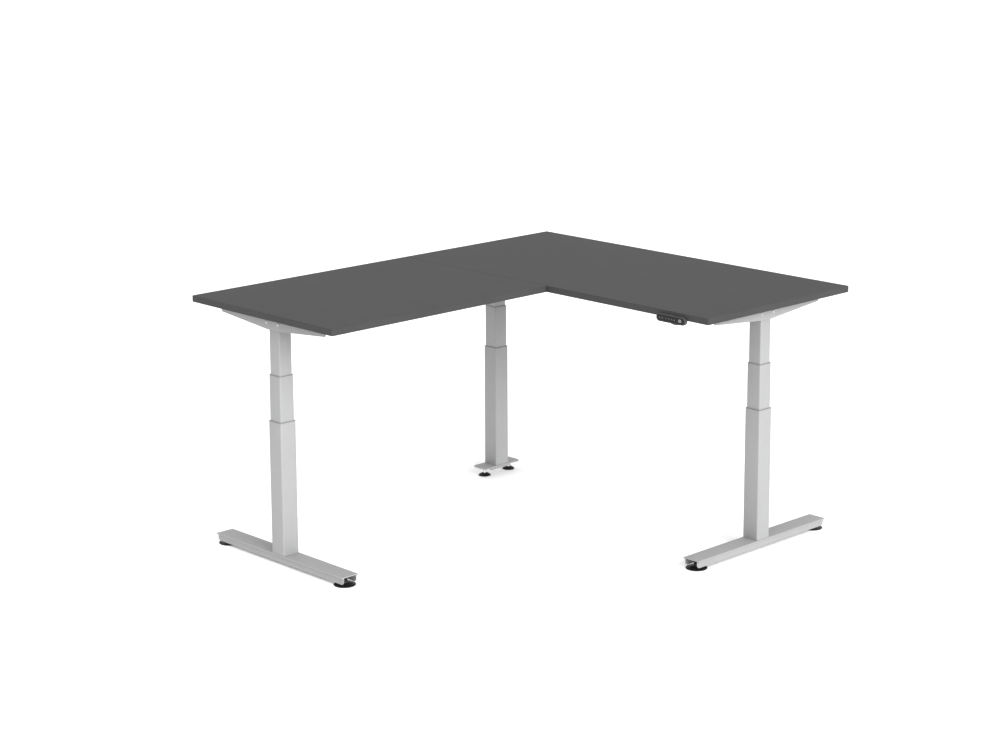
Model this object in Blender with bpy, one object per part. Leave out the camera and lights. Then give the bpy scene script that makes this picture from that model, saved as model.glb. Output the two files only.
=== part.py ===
"""Height adjustable corner desk: two boards on a steel frame with three telescopic lifting columns.

Metres, +Z up. The origin lies on the floor under the middle of the desk's outer rectangle.
+X runs along the main board and +Y towards the back, and the return board comes forward on the left.
"""

import math

import bmesh
import bpy
from mathutils import Matrix, Vector

# Clearance between pieces that touch, and round one piece that passes through another
TOUCH_GAP = 0.0003
# How far a cutter runs past the face it cuts, and how deep one welded plate sinks into another
CUT_PAST = 0.001
WELD_SINK = 0.0005
# Two points this near each other are the same point
SAME_PLACE = 1e-6

# Boards
MAIN_LENGTH = 1.600
BOARD_DEPTH = 0.800
RETURN_LENGTH = 1.040
BOARD_THICKNESS = 0.025
BOARD_EDGE_ROUND = 0.002
DESK_HEIGHT = 0.955

# Leg places, measured from the boards' edges
MAIN_LEG_INSET = 0.100
MAIN_LEG_SETBACK = 0.405
RETURN_LEG_INSET = 0.090

# Telescopic columns: three square tubes, the widest at the bottom
OUTER_WIDTH = 0.070
TUBE_WALL = 0.0015
OUTER_GUIDE_SPACE = 0.002
MIDDLE_GUIDE_SPACE = 0.0015
MIDDLE_WIDTH = OUTER_WIDTH - 2 * (TUBE_WALL + OUTER_GUIDE_SPACE)
INNER_WIDTH = MIDDLE_WIDTH - 2 * (TUBE_WALL + MIDDLE_GUIDE_SPACE)
TUBE_CORNER = 0.005
OUTER_LENGTH = 0.498
BASE_PLATE = 0.006
MIDDLE_LENGTH = 0.488
MIDDLE_PLATE = 0.0035
INNER_LENGTH = 0.492
COLLAR_LIP = 0.002
COLLAR_SLEEVE = 0.050
HEAD_FLANGE = 0.003
HEAD_REACH = 0.008

# Lifting screws inside the columns
SHAFT_RADIUS = 0.005
SHAFT_LENGTH = 0.530
BASE_SCREW_RADIUS = 0.008
BASE_SCREW_LENGTH = 0.453
BASE_SCREW_FLANGE_RADIUS = 0.017
BASE_SCREW_FLANGE = 0.005
LIFT_SCREW_RADIUS = 0.013
LIFT_SCREW_BORE = 0.0098
LIFT_SCREW_LENGTH = 0.466
LIFT_SCREW_FLANGE_RADIUS = 0.018
LIFT_SCREW_FLANGE = 0.004
LIFT_SCREW_NUT = 0.020
LIFT_SCREW_CAP = 0.008
INNER_NUT = 0.020

# Gear motors in the column heads
GEARBOX_OVERHANG = 0.0135
GEARBOX_LENGTH = INNER_WIDTH + 2 * GEARBOX_OVERHANG
MOTOR_RADIUS = 0.0165
MOTOR_LENGTH = 0.080

# Top brackets: a folded plate with deep sides that taper to both ends
BRACKET_LENGTH = 0.610
BRACKET_WIDTH = OUTER_WIDTH
BRACKET_WALL = 0.0025
BRACKET_MIDDLE_DEPTH = 0.052
BRACKET_END_DEPTH = 0.028
BRACKET_END_SLANT = 0.010
BRACKET_FLAT = 0.060
BRACKET_SCREW_SPACING = 0.065
BRACKET_SCREW_DEPTH = 0.014
BRACKET_SCREW_DROP = 0.027
BRACKET_BOARD_SCREWS = (0.180, 0.270)

# Rails between the brackets
RAIL_WIDTH = 0.040
RAIL_HEIGHT = 0.030
RAIL_WALL = 0.002
RAIL_END_PLATE = 0.005
RAIL_SPACING = 0.260
RAIL_BOLT_SPACING = 0.020
RAIL_BOLT_DROP = 0.016

# T-shaped feet: a plate with overhanging lips on two webs, open below and at both ends
FOOT_TOP = 0.040
FOOT_LENGTH = 0.730
FOOT_MARGIN = 0.0025
FOOT_WIDTH = OUTER_WIDTH + 2 * FOOT_MARGIN
FOOT_PLATE = 0.004
FOOT_LIP = 0.006
FOOT_LIP_ROUND = 0.0022
FOOT_OVERHANG = 0.0075
FOOT_WEB_SPACING = FOOT_WIDTH - 2 * FOOT_OVERHANG
FOOT_WEB = 0.0025
FOOT_DROP = 0.030
FOOT_WEB_ROUND = 0.014

# Corner foot: a short plate with a shallow channel below it
CORNER_FOOT_LENGTH = 0.200
CORNER_FOOT_PLATE = 0.006
CORNER_FOOT_CORNER = 0.014
CHANNEL_LENGTH = 0.110
CHANNEL_SETBACK = 0.0095
CHANNEL_WIDTH = FOOT_WIDTH - 2 * CHANNEL_SETBACK
CHANNEL_DROP = 0.010
CHANNEL_WALL = 0.0025

# Glides that screw in and out of the feet
DISC_RADIUS = 0.040
DISC_INSET = 0.030
DISC_RIM = 0.004
DISC_SHOULDER = 0.009
CONE_RADIUS = 0.0255
CONE_SPACING = 0.137
CONE_RIM = 0.003
CONE_SHOULDER = 0.015
GLIDE_NECK_RADIUS = 0.012
GLIDE_STUD_RADIUS = 0.004
GLIDE_SHANK_RADIUS = 0.0055
GLIDE_NUT_RADIUS = 0.009
GLIDE_NUT = 0.006
GLIDE_BOSS_RADIUS = 0.008
DISC_BOSS = 0.010
CONE_BOSS = 0.006
GLIDE_HOLE_COVER = 0.0015

# Holes for bolts and wood screws, and the places of the bolts about a column
BOLT_HOLE = 0.0033
FOOT_BOLT_PLACES = (0.024, 0.018)
HEAD_BOLT_SPACE = 0.0075
HEAD_BOLT_PLACES = (INNER_WIDTH / 2 + HEAD_BOLT_SPACE, 0.020)
HEAD_BOLT_DEPTH = 0.009
WOOD_SCREW_HOLE = 0.0022

# Plates that join the two boards across the seam
JOINING_PLATE_WIDTH = 0.060
JOINING_PLATE_LENGTH = 0.140
JOINING_PLATE_THICKNESS = 0.003
JOINING_PLATE_PLACES = {"outer": 0.100, "middle": 0.400, "inner": 0.700}
JOINING_SCREW_PLACES = (0.018, 0.050)

# Handset under the main board's front edge
HANDSET_LENGTH = 0.138
HANDSET_HEIGHT = 0.029
HANDSET_DEPTH = 0.0137
HANDSET_FROM_END = 0.165
HANDSET_RISE = 0.013
HANDSET_RIM = 0.003
HANDSET_POCKET = 0.006
HANDSET_TONGUE = (0.100, 0.052, 0.004)
HANDSET_SCREW_SPACING = 0.070
PANEL_THICKNESS = 0.0016
PANEL_SETBACK = 0.0004
DISPLAY_SIZE = (0.024, 0.013)
DISPLAY_FROM_END = 0.026
DISPLAY_PLACE = HANDSET_LENGTH - DISPLAY_FROM_END
UP_KEY_PLACE = 0.018
SET_KEY_TO_DISPLAY = 0.024
SET_KEY_PLACE = DISPLAY_PLACE - SET_KEY_TO_DISPLAY
KEY_GROUP_SPACE = 0.005
KEY_SPACING = (SET_KEY_PLACE - UP_KEY_PLACE - KEY_GROUP_SPACE) / 5
KEY_FLANGE_SHARE = 0.8
KEY_FLANGE_RADIUS = KEY_FLANGE_SHARE * KEY_SPACING / 2
KEY_SHOULDER = 0.001
KEY_RADIUS = KEY_FLANGE_RADIUS - KEY_SHOULDER
KEY_PROUD = 0.0008
KEY_FLANGE = 0.0008
KEY_PLACES = {
    "up_key": UP_KEY_PLACE,
    "down_key": UP_KEY_PLACE + KEY_SPACING,
    "memory_key_1": SET_KEY_PLACE - 3 * KEY_SPACING,
    "memory_key_2": SET_KEY_PLACE - 2 * KEY_SPACING,
    "memory_key_3": SET_KEY_PLACE - KEY_SPACING,
    "set_key": SET_KEY_PLACE,
}

# Control box under the main board
CONTROL_BOX = (0.240, 0.090, 0.038)
CONTROL_BOX_WALL = 0.0025
CONTROL_BOX_FROM_CORNER_LEG = 0.930
CONTROL_EAR = 0.016
CONTROL_EAR_THICKNESS = 0.003
SOCKET_SIZE = (0.016, 0.012)
SOCKET_COUNT = 4
INLET_SIZE = (0.028, 0.020)
INLET_DEPTH = 0.020
INLET_PROUD = 0.002
INLET_WALL = 0.002
CIRCUIT_THICKNESS = 0.0016
CIRCUIT_SIDE_SPACE = 0.0045
CIRCUIT_INLET_SPACE = 0.003
TRANSFORMER = (0.060, 0.050, 0.020)

# Facets of round shapes
CORNER_STEPS = 3
HOLE_STEPS = 8
ROUND_STEPS = 16
HALF_ROUND_STEPS = 8
SHARP_ANGLE = 35

# Planes and places that follow from the sizes above
LEFT = -MAIN_LENGTH / 2
RIGHT = MAIN_LENGTH / 2
BACK = (BOARD_DEPTH + RETURN_LENGTH) / 2
FRONT = -BACK
SEAM = BACK - BOARD_DEPTH
UNDERSIDE = DESK_HEIGHT - BOARD_THICKNESS
STEEL_TOP = UNDERSIDE - TOUCH_GAP
RAIL_OFFSET = RAIL_SPACING / 2
MAIN_LEG_Y = SEAM + MAIN_LEG_SETBACK

# Each leg: its place and the turn of its foot and bracket about the column.
# A bracket's rails are on its own +Y side.
LEGS = {
    "left": ((LEFT + BOARD_DEPTH / 2, FRONT + RETURN_LEG_INSET), 0.0),
    "right": ((RIGHT - MAIN_LEG_INSET, MAIN_LEG_Y), 90.0),
    "corner": ((LEFT + MAIN_LEG_INSET, MAIN_LEG_Y), -90.0),
}

# Heights along a column, from the floor up
OUTER_LOW = FOOT_TOP + TOUCH_GAP
OUTER_HIGH = FOOT_TOP + OUTER_LENGTH
COLLAR_HIGH = OUTER_HIGH + TOUCH_GAP + COLLAR_LIP
BRACKET_LOW = STEEL_TOP - BRACKET_MIDDLE_DEPTH
MIDDLE_HIGH = (COLLAR_HIGH + BRACKET_LOW) / 2
MIDDLE_LOW = MIDDLE_HIGH - MIDDLE_LENGTH
FLANGE_HIGH = BRACKET_LOW + HEAD_REACH + HEAD_FLANGE
INNER_LOW = FLANGE_HIGH - INNER_LENGTH
GEARBOX_LOW = FLANGE_HIGH + TOUCH_GAP
GEARBOX_HIGH = STEEL_TOP - BRACKET_WALL - TOUCH_GAP
SHAFT_HIGH = GEARBOX_HIGH - 2 * BRACKET_WALL
BRACKET_INSIDE = BRACKET_WIDTH - 2 * BRACKET_WALL


def make_material(name, colour, roughness, metallic=0.0):
    """A plain surface of one colour."""
    surface = bpy.data.materials.new(name)
    surface.use_nodes = True
    shader = surface.node_tree.nodes["Principled BSDF"]
    shader.inputs["Base Color"].default_value = (*colour, 1.0)
    shader.inputs["Roughness"].default_value = roughness
    shader.inputs["Metallic"].default_value = metallic
    return surface


def leg_matrix(leg):
    """From a column's own axes (X along its foot) to the desk's."""
    (x, y), turn = LEGS[leg]
    return Matrix.Translation((x, y, 0.0)) @ Matrix.Rotation(math.radians(turn), 4, "Z")


def to_mesh(shape, name):
    """Close off a finished shape as a mesh with its faces pointing out."""
    bmesh.ops.recalc_face_normals(shape, faces=shape.faces)
    mesh = bpy.data.meshes.new(name)
    shape.to_mesh(mesh)
    shape.free()
    mesh.shade_smooth()
    mesh.set_sharp_from_angle(angle=math.radians(SHARP_ANGLE))
    return mesh


def place(name, mesh, surface, matrix=None):
    """Put a mesh into the scene as one named piece."""
    if not mesh.materials:
        mesh.materials.append(surface)
    piece = bpy.data.objects.new(name, mesh)
    piece.matrix_world = matrix or Matrix()
    bpy.context.scene.collection.objects.link(piece)
    return piece


def boolean(piece, operation, mesh):
    """Join a shape to a piece, or cut it out, with both in the piece's own axes."""
    tool = bpy.data.objects.new(piece.name + "_" + operation.lower(), mesh)
    bpy.context.scene.collection.objects.link(tool)
    tool.parent = piece
    tool.hide_render = True
    tool.display_type = "WIRE"
    change = piece.modifiers.new(operation.title(), "BOOLEAN")
    change.operation = operation
    change.solver = "EXACT"
    change.object = tool


def add_box(shape, low, high):
    """A box between two corners."""
    low, high = Vector(low), Vector(high)
    size = high - low
    matrix = Matrix.Translation((low + high) / 2) @ Matrix.Diagonal((*size, 1.0))
    bmesh.ops.create_cube(shape, size=1.0, matrix=matrix)


def add_cylinder(shape, radius, low, high, steps=HOLE_STEPS):
    """A cylinder from one centre to another."""
    low, high = Vector(low), Vector(high)
    along = high - low
    turn = Vector((0, 0, 1)).rotation_difference(along).to_matrix().to_4x4()
    matrix = Matrix.Translation((low + high) / 2) @ turn
    bmesh.ops.create_cone(
        shape, cap_ends=True, segments=steps, radius1=radius, radius2=radius,
        depth=along.length, matrix=matrix,
    )


def turned(profile, steps=HOLE_STEPS, closed=False):
    """Turn a profile of (radius, height) about Z; a closed one is a ring."""
    shape = bmesh.new()
    points = [shape.verts.new((radius, 0.0, height)) for radius, height in profile]
    for start, end in zip(points, points[1:]):
        shape.edges.new((start, end))
    if closed:
        shape.edges.new((points[-1], points[0]))
    bmesh.ops.spin(
        shape, geom=shape.verts[:] + shape.edges[:], cent=(0, 0, 0), axis=(0, 0, 1),
        angle=2 * math.pi, steps=steps, use_merge=True,
    )
    bmesh.ops.remove_doubles(shape, verts=shape.verts, dist=SAME_PLACE)
    return shape


def extruded(outline, travel):
    """Push a flat outline along a straight line."""
    shape = bmesh.new()
    face = shape.faces.new([shape.verts.new(point) for point in outline])
    pushed = bmesh.ops.extrude_face_region(shape, geom=[face])["geom"]
    moved = [item for item in pushed if isinstance(item, bmesh.types.BMVert)]
    bmesh.ops.translate(shape, verts=moved, vec=travel)
    return shape


def round_square(half, corner):
    """Points round a square with round corners, about Z."""
    points = []
    for side in range(4):
        middle = math.radians(45 + 90 * side)
        centre = Vector((math.cos(middle), math.sin(middle))) * (half - corner) * math.sqrt(2)
        for step in range(CORNER_STEPS + 1):
            turn = math.radians(90 * side + 90 * step / CORNER_STEPS)
            points.append(centre + Vector((math.cos(turn), math.sin(turn))) * corner)
    return points


def square_sleeve(profile, corner, closed=True):
    """Carry a profile of (half width, height) round a square with round corners.

    The corner is that of the widest point. An open profile is capped at both ends.
    """
    shape = bmesh.new()
    widest = max(half for half, _ in profile)
    loops = []
    for half, height in profile:
        radius = max(corner + half - widest, TUBE_WALL / 2)
        loops.append([shape.verts.new((*point, height)) for point in round_square(half, radius)])
    pairs = list(zip(loops, loops[1:]))
    if closed:
        pairs.append((loops[-1], loops[0]))
    else:
        shape.faces.new(loops[0])
        shape.faces.new(loops[-1])
    for lower, upper in pairs:
        for index in range(len(lower)):
            after = (index + 1) % len(lower)
            shape.faces.new((lower[index], lower[after], upper[after], upper[index]))
    return shape


def stadium(length, height, depth):
    """Outline in X and Z of a bar with round ends, about its centre, at the given Y."""
    radius = height / 2
    middle = length / 2 - radius
    outline = []
    for end, start in ((middle, -90), (-middle, 90)):
        for step in range(HALF_ROUND_STEPS + 1):
            turn = math.radians(start + 180 * step / HALF_ROUND_STEPS)
            outline.append((end + radius * math.cos(turn), depth, radius * math.sin(turn)))
    return outline


def signs():
    """The four corners of a pattern."""
    return [(a, b) for a in (-1, 1) for b in (-1, 1)]


def handset_centre():
    """Middle of the handset's front face."""
    x = RIGHT - HANDSET_FROM_END
    y = SEAM - TOUCH_GAP - HANDSET_DEPTH
    z = UNDERSIDE + HANDSET_RISE - HANDSET_HEIGHT / 2
    return Vector((x, y, z))


def control_box_centre():
    """Middle of the control box's top."""
    x = LEGS["corner"][0][0] + CONTROL_BOX_FROM_CORNER_LEG
    return Vector((x, MAIN_LEG_Y, STEEL_TOP))


def make_boards(surface):
    """The main board and the return board, with softly rounded edges, which meet at the seam."""
    corners = {
        "main_desktop": ((LEFT, SEAM), (RIGHT, BACK)),
        "return_desktop": ((LEFT, FRONT), (LEFT + BOARD_DEPTH, SEAM - TOUCH_GAP)),
    }
    for name, (low, high) in corners.items():
        shape = bmesh.new()
        add_box(shape, (*low, UNDERSIDE), (*high, DESK_HEIGHT))
        bmesh.ops.bevel(
            shape, geom=shape.edges[:], offset=BOARD_EDGE_ROUND, segments=2, profile=0.5,
            affect="EDGES", clamp_overlap=True,
        )
        place(name, to_mesh(shape, name), surface)


def make_joining_plates(surface):
    """Flat plates under the seam, with two screw holes on either side of it."""
    half = Vector((JOINING_PLATE_WIDTH / 2, JOINING_PLATE_LENGTH / 2, 0))
    shape = bmesh.new()
    add_box(shape, -half - Vector((0, 0, JOINING_PLATE_THICKNESS)), half)
    plate = to_mesh(shape, "joining_plate")
    holes = plate_holes(JOINING_SCREW_PLACES, WOOD_SCREW_HOLE, -2 * JOINING_PLATE_THICKNESS,
                        JOINING_PLATE_THICKNESS)
    holes = to_mesh(holes, "joining_plate_holes")
    for name, along in JOINING_PLATE_PLACES.items():
        matrix = Matrix.Translation((LEFT + along, SEAM, STEEL_TOP))
        piece = place(name + "_joining_plate", plate, surface, matrix)
        boolean(piece, "DIFFERENCE", holes)


def bracket_mesh():
    """The bracket's outer form: a solid bar as deep as its sides."""
    end = BRACKET_LENGTH / 2
    drops = [
        (-end, 0), (-end + BRACKET_END_SLANT, BRACKET_END_DEPTH),
        (-BRACKET_FLAT / 2, BRACKET_MIDDLE_DEPTH), (BRACKET_FLAT / 2, BRACKET_MIDDLE_DEPTH),
        (end - BRACKET_END_SLANT, BRACKET_END_DEPTH), (end, 0),
    ]
    outline = [(along, -BRACKET_WIDTH / 2, STEEL_TOP - drop) for along, drop in drops]
    return to_mesh(extruded(outline, (0, BRACKET_WIDTH, 0)), "bracket")


def bracket_inside():
    """The bracket's open inside."""
    shape = bmesh.new()
    half = BRACKET_INSIDE / 2
    low = (-BRACKET_LENGTH, -half, STEEL_TOP - 2 * BRACKET_MIDDLE_DEPTH)
    add_box(shape, low, (BRACKET_LENGTH, half, STEEL_TOP - BRACKET_WALL))
    return to_mesh(shape, "bracket_inside")


def bracket_holes():
    """The bracket's holes for its gearbox screws, its rail bolts and its board screws."""
    shape = bmesh.new()
    inside = BRACKET_INSIDE / 2 - CUT_PAST
    outside = BRACKET_WIDTH / 2 + CUT_PAST
    height = UNDERSIDE - BRACKET_SCREW_DROP
    for along, side in signs():
        x = along * BRACKET_SCREW_SPACING / 2
        add_cylinder(shape, BOLT_HOLE, (x, side * inside, height), (x, side * outside, height))
    height = UNDERSIDE - RAIL_BOLT_DROP
    for rail, offset in rail_bolt_places():
        x = rail + offset
        add_cylinder(shape, BOLT_HOLE, (x, inside, height), (x, outside, height))
    low = STEEL_TOP - BRACKET_WALL - CUT_PAST
    for sign in (-1, 1):
        for along in BRACKET_BOARD_SCREWS:
            x = sign * along
            add_cylinder(shape, WOOD_SCREW_HOLE, (x, 0, low), (x, 0, STEEL_TOP + CUT_PAST))
    return to_mesh(shape, "bracket_holes")


def rail_bolt_places():
    """Each rail bolt along a bracket: its rail's place and its own offset from it."""
    return [(rail * RAIL_OFFSET, bolt * RAIL_BOLT_SPACING / 2) for rail, bolt in signs()]


def make_brackets(surface):
    """One bracket on each column."""
    mesh = bracket_mesh()
    inside = bracket_inside()
    holes = bracket_holes()
    for leg in LEGS:
        bracket = place(leg + "_bracket", mesh, surface, leg_matrix(leg))
        boolean(bracket, "DIFFERENCE", inside)
        boolean(bracket, "DIFFERENCE", holes)


def rail_places():
    """Each rail: its start, its end and its direction of travel, along its middle."""
    right, corner, left = (Vector(LEGS[leg][0]) for leg in ("right", "corner", "left"))
    clear = BRACKET_WIDTH / 2 + TOUCH_GAP
    rails = {}
    for name, side in (("main_front_rail", -1), ("main_rear_rail", 1)):
        y = MAIN_LEG_Y + side * RAIL_OFFSET
        rails[name] = (Vector((corner.x + clear, y)), Vector((right.x - clear, y)))
    back = MAIN_LEG_Y - RAIL_OFFSET - RAIL_WIDTH / 2 - TOUCH_GAP
    for name, side in (("return_outer_rail", -1), ("return_inner_rail", 1)):
        x = left.x + side * RAIL_OFFSET
        rails[name] = (Vector((x, left.y + clear)), Vector((x, back)))
    return rails


def rail_mesh(name, length):
    """A rail along X from the origin: a channel open below, with a plate across each end."""
    shape = bmesh.new()
    half = RAIL_WIDTH / 2
    add_box(shape, (0, -half, STEEL_TOP - RAIL_HEIGHT), (length, half, STEEL_TOP))
    bottom = min(shape.faces, key=lambda face: face.calc_center_median().z)
    bmesh.ops.inset_region(shape, faces=[bottom], thickness=RAIL_WALL)
    for vert in bottom.verts:
        near_end = RAIL_END_PLATE if vert.co.x < length / 2 else length - RAIL_END_PLATE
        vert.co.x = near_end
    pushed = bmesh.ops.extrude_face_region(shape, geom=[bottom])["geom"]
    moved = [item for item in pushed if isinstance(item, bmesh.types.BMVert)]
    bmesh.ops.translate(shape, verts=moved, vec=(0, 0, RAIL_HEIGHT - RAIL_WALL))
    bmesh.ops.delete(shape, geom=[bottom], context="FACES_ONLY")
    return to_mesh(shape, name)


def make_rails(surface):
    """The rails, with bolt holes in their end plates and in the wall that carries the return rails."""
    rails = rail_places()
    height = UNDERSIDE - RAIL_BOLT_DROP
    for name, (start, end) in rails.items():
        along = (end - start).normalized()
        length = (end - start).length
        turn = math.atan2(along.y, along.x)
        matrix = Matrix.Translation((*start, 0)) @ Matrix.Rotation(turn, 4, "Z")
        rail = place(name, rail_mesh(name, length), surface, matrix)
        shape = bmesh.new()
        for offset in (-RAIL_BOLT_SPACING / 2, RAIL_BOLT_SPACING / 2):
            for plate in (0, length - RAIL_END_PLATE):
                low, high = plate - CUT_PAST, plate + RAIL_END_PLATE + CUT_PAST
                add_cylinder(shape, BOLT_HOLE, (low, offset, height), (high, offset, height))
        if name == "main_front_rail":
            for place_x, offset in return_rail_bolts(start):
                low = (place_x + offset, -RAIL_WIDTH / 2 - CUT_PAST, height)
                high = (place_x + offset, -RAIL_WIDTH / 2 + RAIL_WALL + CUT_PAST, height)
                add_cylinder(shape, BOLT_HOLE, low, high)
        boolean(rail, "DIFFERENCE", to_mesh(shape, name + "_holes"))


def return_rail_bolts(start):
    """Bolts that hold the return rails to the main front rail, from that rail's start."""
    middle = LEGS["left"][0][0] - start.x
    return [(middle + rail, offset) for rail, offset in rail_bolt_places()]


def outer_tube_mesh():
    """The widest tube, with its base plate."""
    half = OUTER_WIDTH / 2
    inside = half - TUBE_WALL
    profile = [(half, OUTER_LOW), (half, OUTER_HIGH), (inside, OUTER_HIGH),
               (inside, OUTER_LOW + BASE_PLATE)]
    return to_mesh(square_sleeve(profile, TUBE_CORNER, closed=False), "outer_tube")


def middle_tube_mesh():
    """The middle tube, with the plate that carries its lifting screw."""
    half = MIDDLE_WIDTH / 2
    inside = half - TUBE_WALL
    profile = [(half, MIDDLE_LOW), (half, MIDDLE_HIGH), (inside, MIDDLE_HIGH),
               (inside, MIDDLE_LOW + MIDDLE_PLATE)]
    return to_mesh(square_sleeve(profile, TUBE_CORNER, closed=False), "middle_tube")


def inner_tube_mesh():
    """The narrow tube below its flange, with the nut block that fills its foot."""
    half = INNER_WIDTH / 2
    inside = half - TUBE_WALL
    top = FLANGE_HIGH - HEAD_FLANGE
    profile = [(half, INNER_LOW), (half, top), (inside, top), (inside, INNER_LOW + INNER_NUT)]
    return to_mesh(square_sleeve(profile, TUBE_CORNER, closed=False), "inner_tube")


def flange_mesh():
    """The flange welded on top of the inner tube, which runs into the tube's wall."""
    shape = bmesh.new()
    half = (GEARBOX_LENGTH / 2, BRACKET_INSIDE / 2 - TOUCH_GAP)
    low = (-half[0], -half[1], FLANGE_HIGH - HEAD_FLANGE - WELD_SINK)
    add_box(shape, low, (half[0], half[1], FLANGE_HIGH))
    return to_mesh(shape, "flange")


def collar_shape(tube_width, slider_width, tube_high):
    """A plastic guide: a sleeve between two tubes, with a lip on the outer tube's end."""
    inside = slider_width / 2 + TOUCH_GAP
    sleeve = tube_width / 2 - TUBE_WALL - TOUCH_GAP
    lip = tube_width / 2
    lip_low = tube_high + TOUCH_GAP
    top = lip_low + COLLAR_LIP
    low = tube_high - COLLAR_SLEEVE
    profile = [(inside, low), (sleeve, low), (sleeve, lip_low), (lip, lip_low), (lip, top),
               (inside, top)]
    return square_sleeve(profile, TUBE_CORNER)


def plate_holes(places, radius, low, high):
    """Round holes through a level plate at plus and minus both of the given places."""
    shape = bmesh.new()
    for along, side in signs():
        x, y = along * places[0], side * places[1]
        add_cylinder(shape, radius, (x, y, low), (x, y, high))
    return shape


def round_hole(radius, low, high, name):
    """A cutter for one upright round hole on a column's axis."""
    shape = bmesh.new()
    add_cylinder(shape, radius, (0, 0, low), (0, 0, high), ROUND_STEPS)
    return to_mesh(shape, name)


def make_tubes(steel):
    """Three nested tubes in each column."""
    outer, middle, inner = outer_tube_mesh(), middle_tube_mesh(), inner_tube_mesh()
    flange = flange_mesh()
    past = TUBE_WALL
    base_holes = to_mesh(plate_holes(FOOT_BOLT_PLACES, BOLT_HOLE, OUTER_LOW - past,
                                     OUTER_LOW + BASE_PLATE + past), "base_holes")
    flange_holes = plate_holes(HEAD_BOLT_PLACES, BOLT_HOLE, FLANGE_HIGH - 2 * HEAD_FLANGE,
                               FLANGE_HIGH + past)
    flange_holes = to_mesh(flange_holes, "flange_holes")
    screw_hole = round_hole(BASE_SCREW_RADIUS + 2 * TOUCH_GAP, MIDDLE_LOW - past,
                            MIDDLE_LOW + MIDDLE_PLATE + past, "screw_hole")
    nut_bore = round_hole(LIFT_SCREW_RADIUS + TOUCH_GAP, INNER_LOW - past,
                          INNER_LOW + INNER_NUT + past, "nut_bore")
    shaft_hole = round_hole(SHAFT_RADIUS + 2 * TOUCH_GAP, FLANGE_HIGH - 2 * HEAD_FLANGE,
                            FLANGE_HIGH + past, "shaft_hole")
    for leg in LEGS:
        matrix = leg_matrix(leg)
        boolean(place(leg + "_outer_tube", outer, steel, matrix), "DIFFERENCE", base_holes)
        boolean(place(leg + "_middle_tube", middle, steel, matrix), "DIFFERENCE", screw_hole)
        tube = place(leg + "_inner_tube", inner, steel, matrix)
        boolean(tube, "UNION", flange)
        for hole in (flange_holes, nut_bore, shaft_hole):
            boolean(tube, "DIFFERENCE", hole)


def make_collars(plastic):
    """Guides at the top of the outer and middle tubes."""
    outer = to_mesh(collar_shape(OUTER_WIDTH, MIDDLE_WIDTH, OUTER_HIGH), "outer_collar")
    middle = to_mesh(collar_shape(MIDDLE_WIDTH, INNER_WIDTH, MIDDLE_HIGH), "middle_collar")
    for leg in LEGS:
        place(leg + "_outer_collar", outer, plastic, leg_matrix(leg))
        place(leg + "_middle_collar", middle, plastic, leg_matrix(leg))


def make_motors(metal):
    """A gearbox block in each column head, with its motor lying beside it in the bracket."""
    half = (GEARBOX_LENGTH / 2, BRACKET_INSIDE / 2 - TOUCH_GAP)
    shape = bmesh.new()
    add_box(shape, (-half[0], -half[1], GEARBOX_LOW), (half[0], half[1], GEARBOX_HIGH))
    gearbox = to_mesh(shape, "gearbox")
    middle = (GEARBOX_LOW + GEARBOX_HIGH) / 2
    shape = bmesh.new()
    add_cylinder(shape, MOTOR_RADIUS, (half[0] - BOLT_HOLE, 0, middle),
                 (half[0] + MOTOR_LENGTH, 0, middle), ROUND_STEPS)
    motor = to_mesh(shape, "motor")
    below = GEARBOX_LOW - TUBE_WALL
    shape = plate_holes(HEAD_BOLT_PLACES, BOLT_HOLE, below, GEARBOX_LOW + HEAD_BOLT_DEPTH)
    for along, side in signs():
        start = Vector((along * BRACKET_SCREW_SPACING / 2, side * (half[1] + CUT_PAST),
                        UNDERSIDE - BRACKET_SCREW_DROP))
        depth = Vector((0, side * (CUT_PAST + BRACKET_SCREW_DEPTH), 0))
        add_cylinder(shape, BOLT_HOLE, start, start - depth)
    bolt_holes = to_mesh(shape, "gearbox_bolt_holes")
    bore = round_hole(SHAFT_RADIUS + TOUCH_GAP, below, SHAFT_HIGH + TOUCH_GAP, "gearbox_bore")
    for leg in LEGS:
        piece = place(leg + "_motor", gearbox, metal, leg_matrix(leg))
        boolean(piece, "UNION", motor)
        boolean(piece, "DIFFERENCE", bolt_holes)
        boolean(piece, "DIFFERENCE", bore)


def base_screw():
    """A fixed hollow screw that stands on the outer tube's base plate."""
    bore = SHAFT_RADIUS + 2 * TOUCH_GAP
    low = OUTER_LOW + BASE_PLATE + TOUCH_GAP
    flange = low + BASE_SCREW_FLANGE
    high = low + BASE_SCREW_LENGTH
    profile = [(bore, low), (BASE_SCREW_FLANGE_RADIUS, low), (BASE_SCREW_FLANGE_RADIUS, flange),
               (BASE_SCREW_RADIUS, flange), (BASE_SCREW_RADIUS, high), (bore, high)]
    return turned(profile, ROUND_STEPS, closed=True)


def lift_screw():
    """A turning hollow screw: its foot is a nut on the fixed screw, its cap is keyed to the shaft."""
    low = MIDDLE_LOW + MIDDLE_PLATE + TOUCH_GAP
    high = low + LIFT_SCREW_LENGTH
    nut_bore = BASE_SCREW_RADIUS + TOUCH_GAP
    cap_bore = SHAFT_RADIUS + TOUCH_GAP
    profile = [
        (nut_bore, low), (LIFT_SCREW_FLANGE_RADIUS, low),
        (LIFT_SCREW_FLANGE_RADIUS, low + LIFT_SCREW_FLANGE),
        (LIFT_SCREW_RADIUS, low + LIFT_SCREW_FLANGE), (LIFT_SCREW_RADIUS, high), (cap_bore, high),
        (cap_bore, high - LIFT_SCREW_CAP), (LIFT_SCREW_BORE, high - LIFT_SCREW_CAP),
        (LIFT_SCREW_BORE, low + LIFT_SCREW_NUT), (nut_bore, low + LIFT_SCREW_NUT),
    ]
    return turned(profile, ROUND_STEPS, closed=True)


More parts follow.
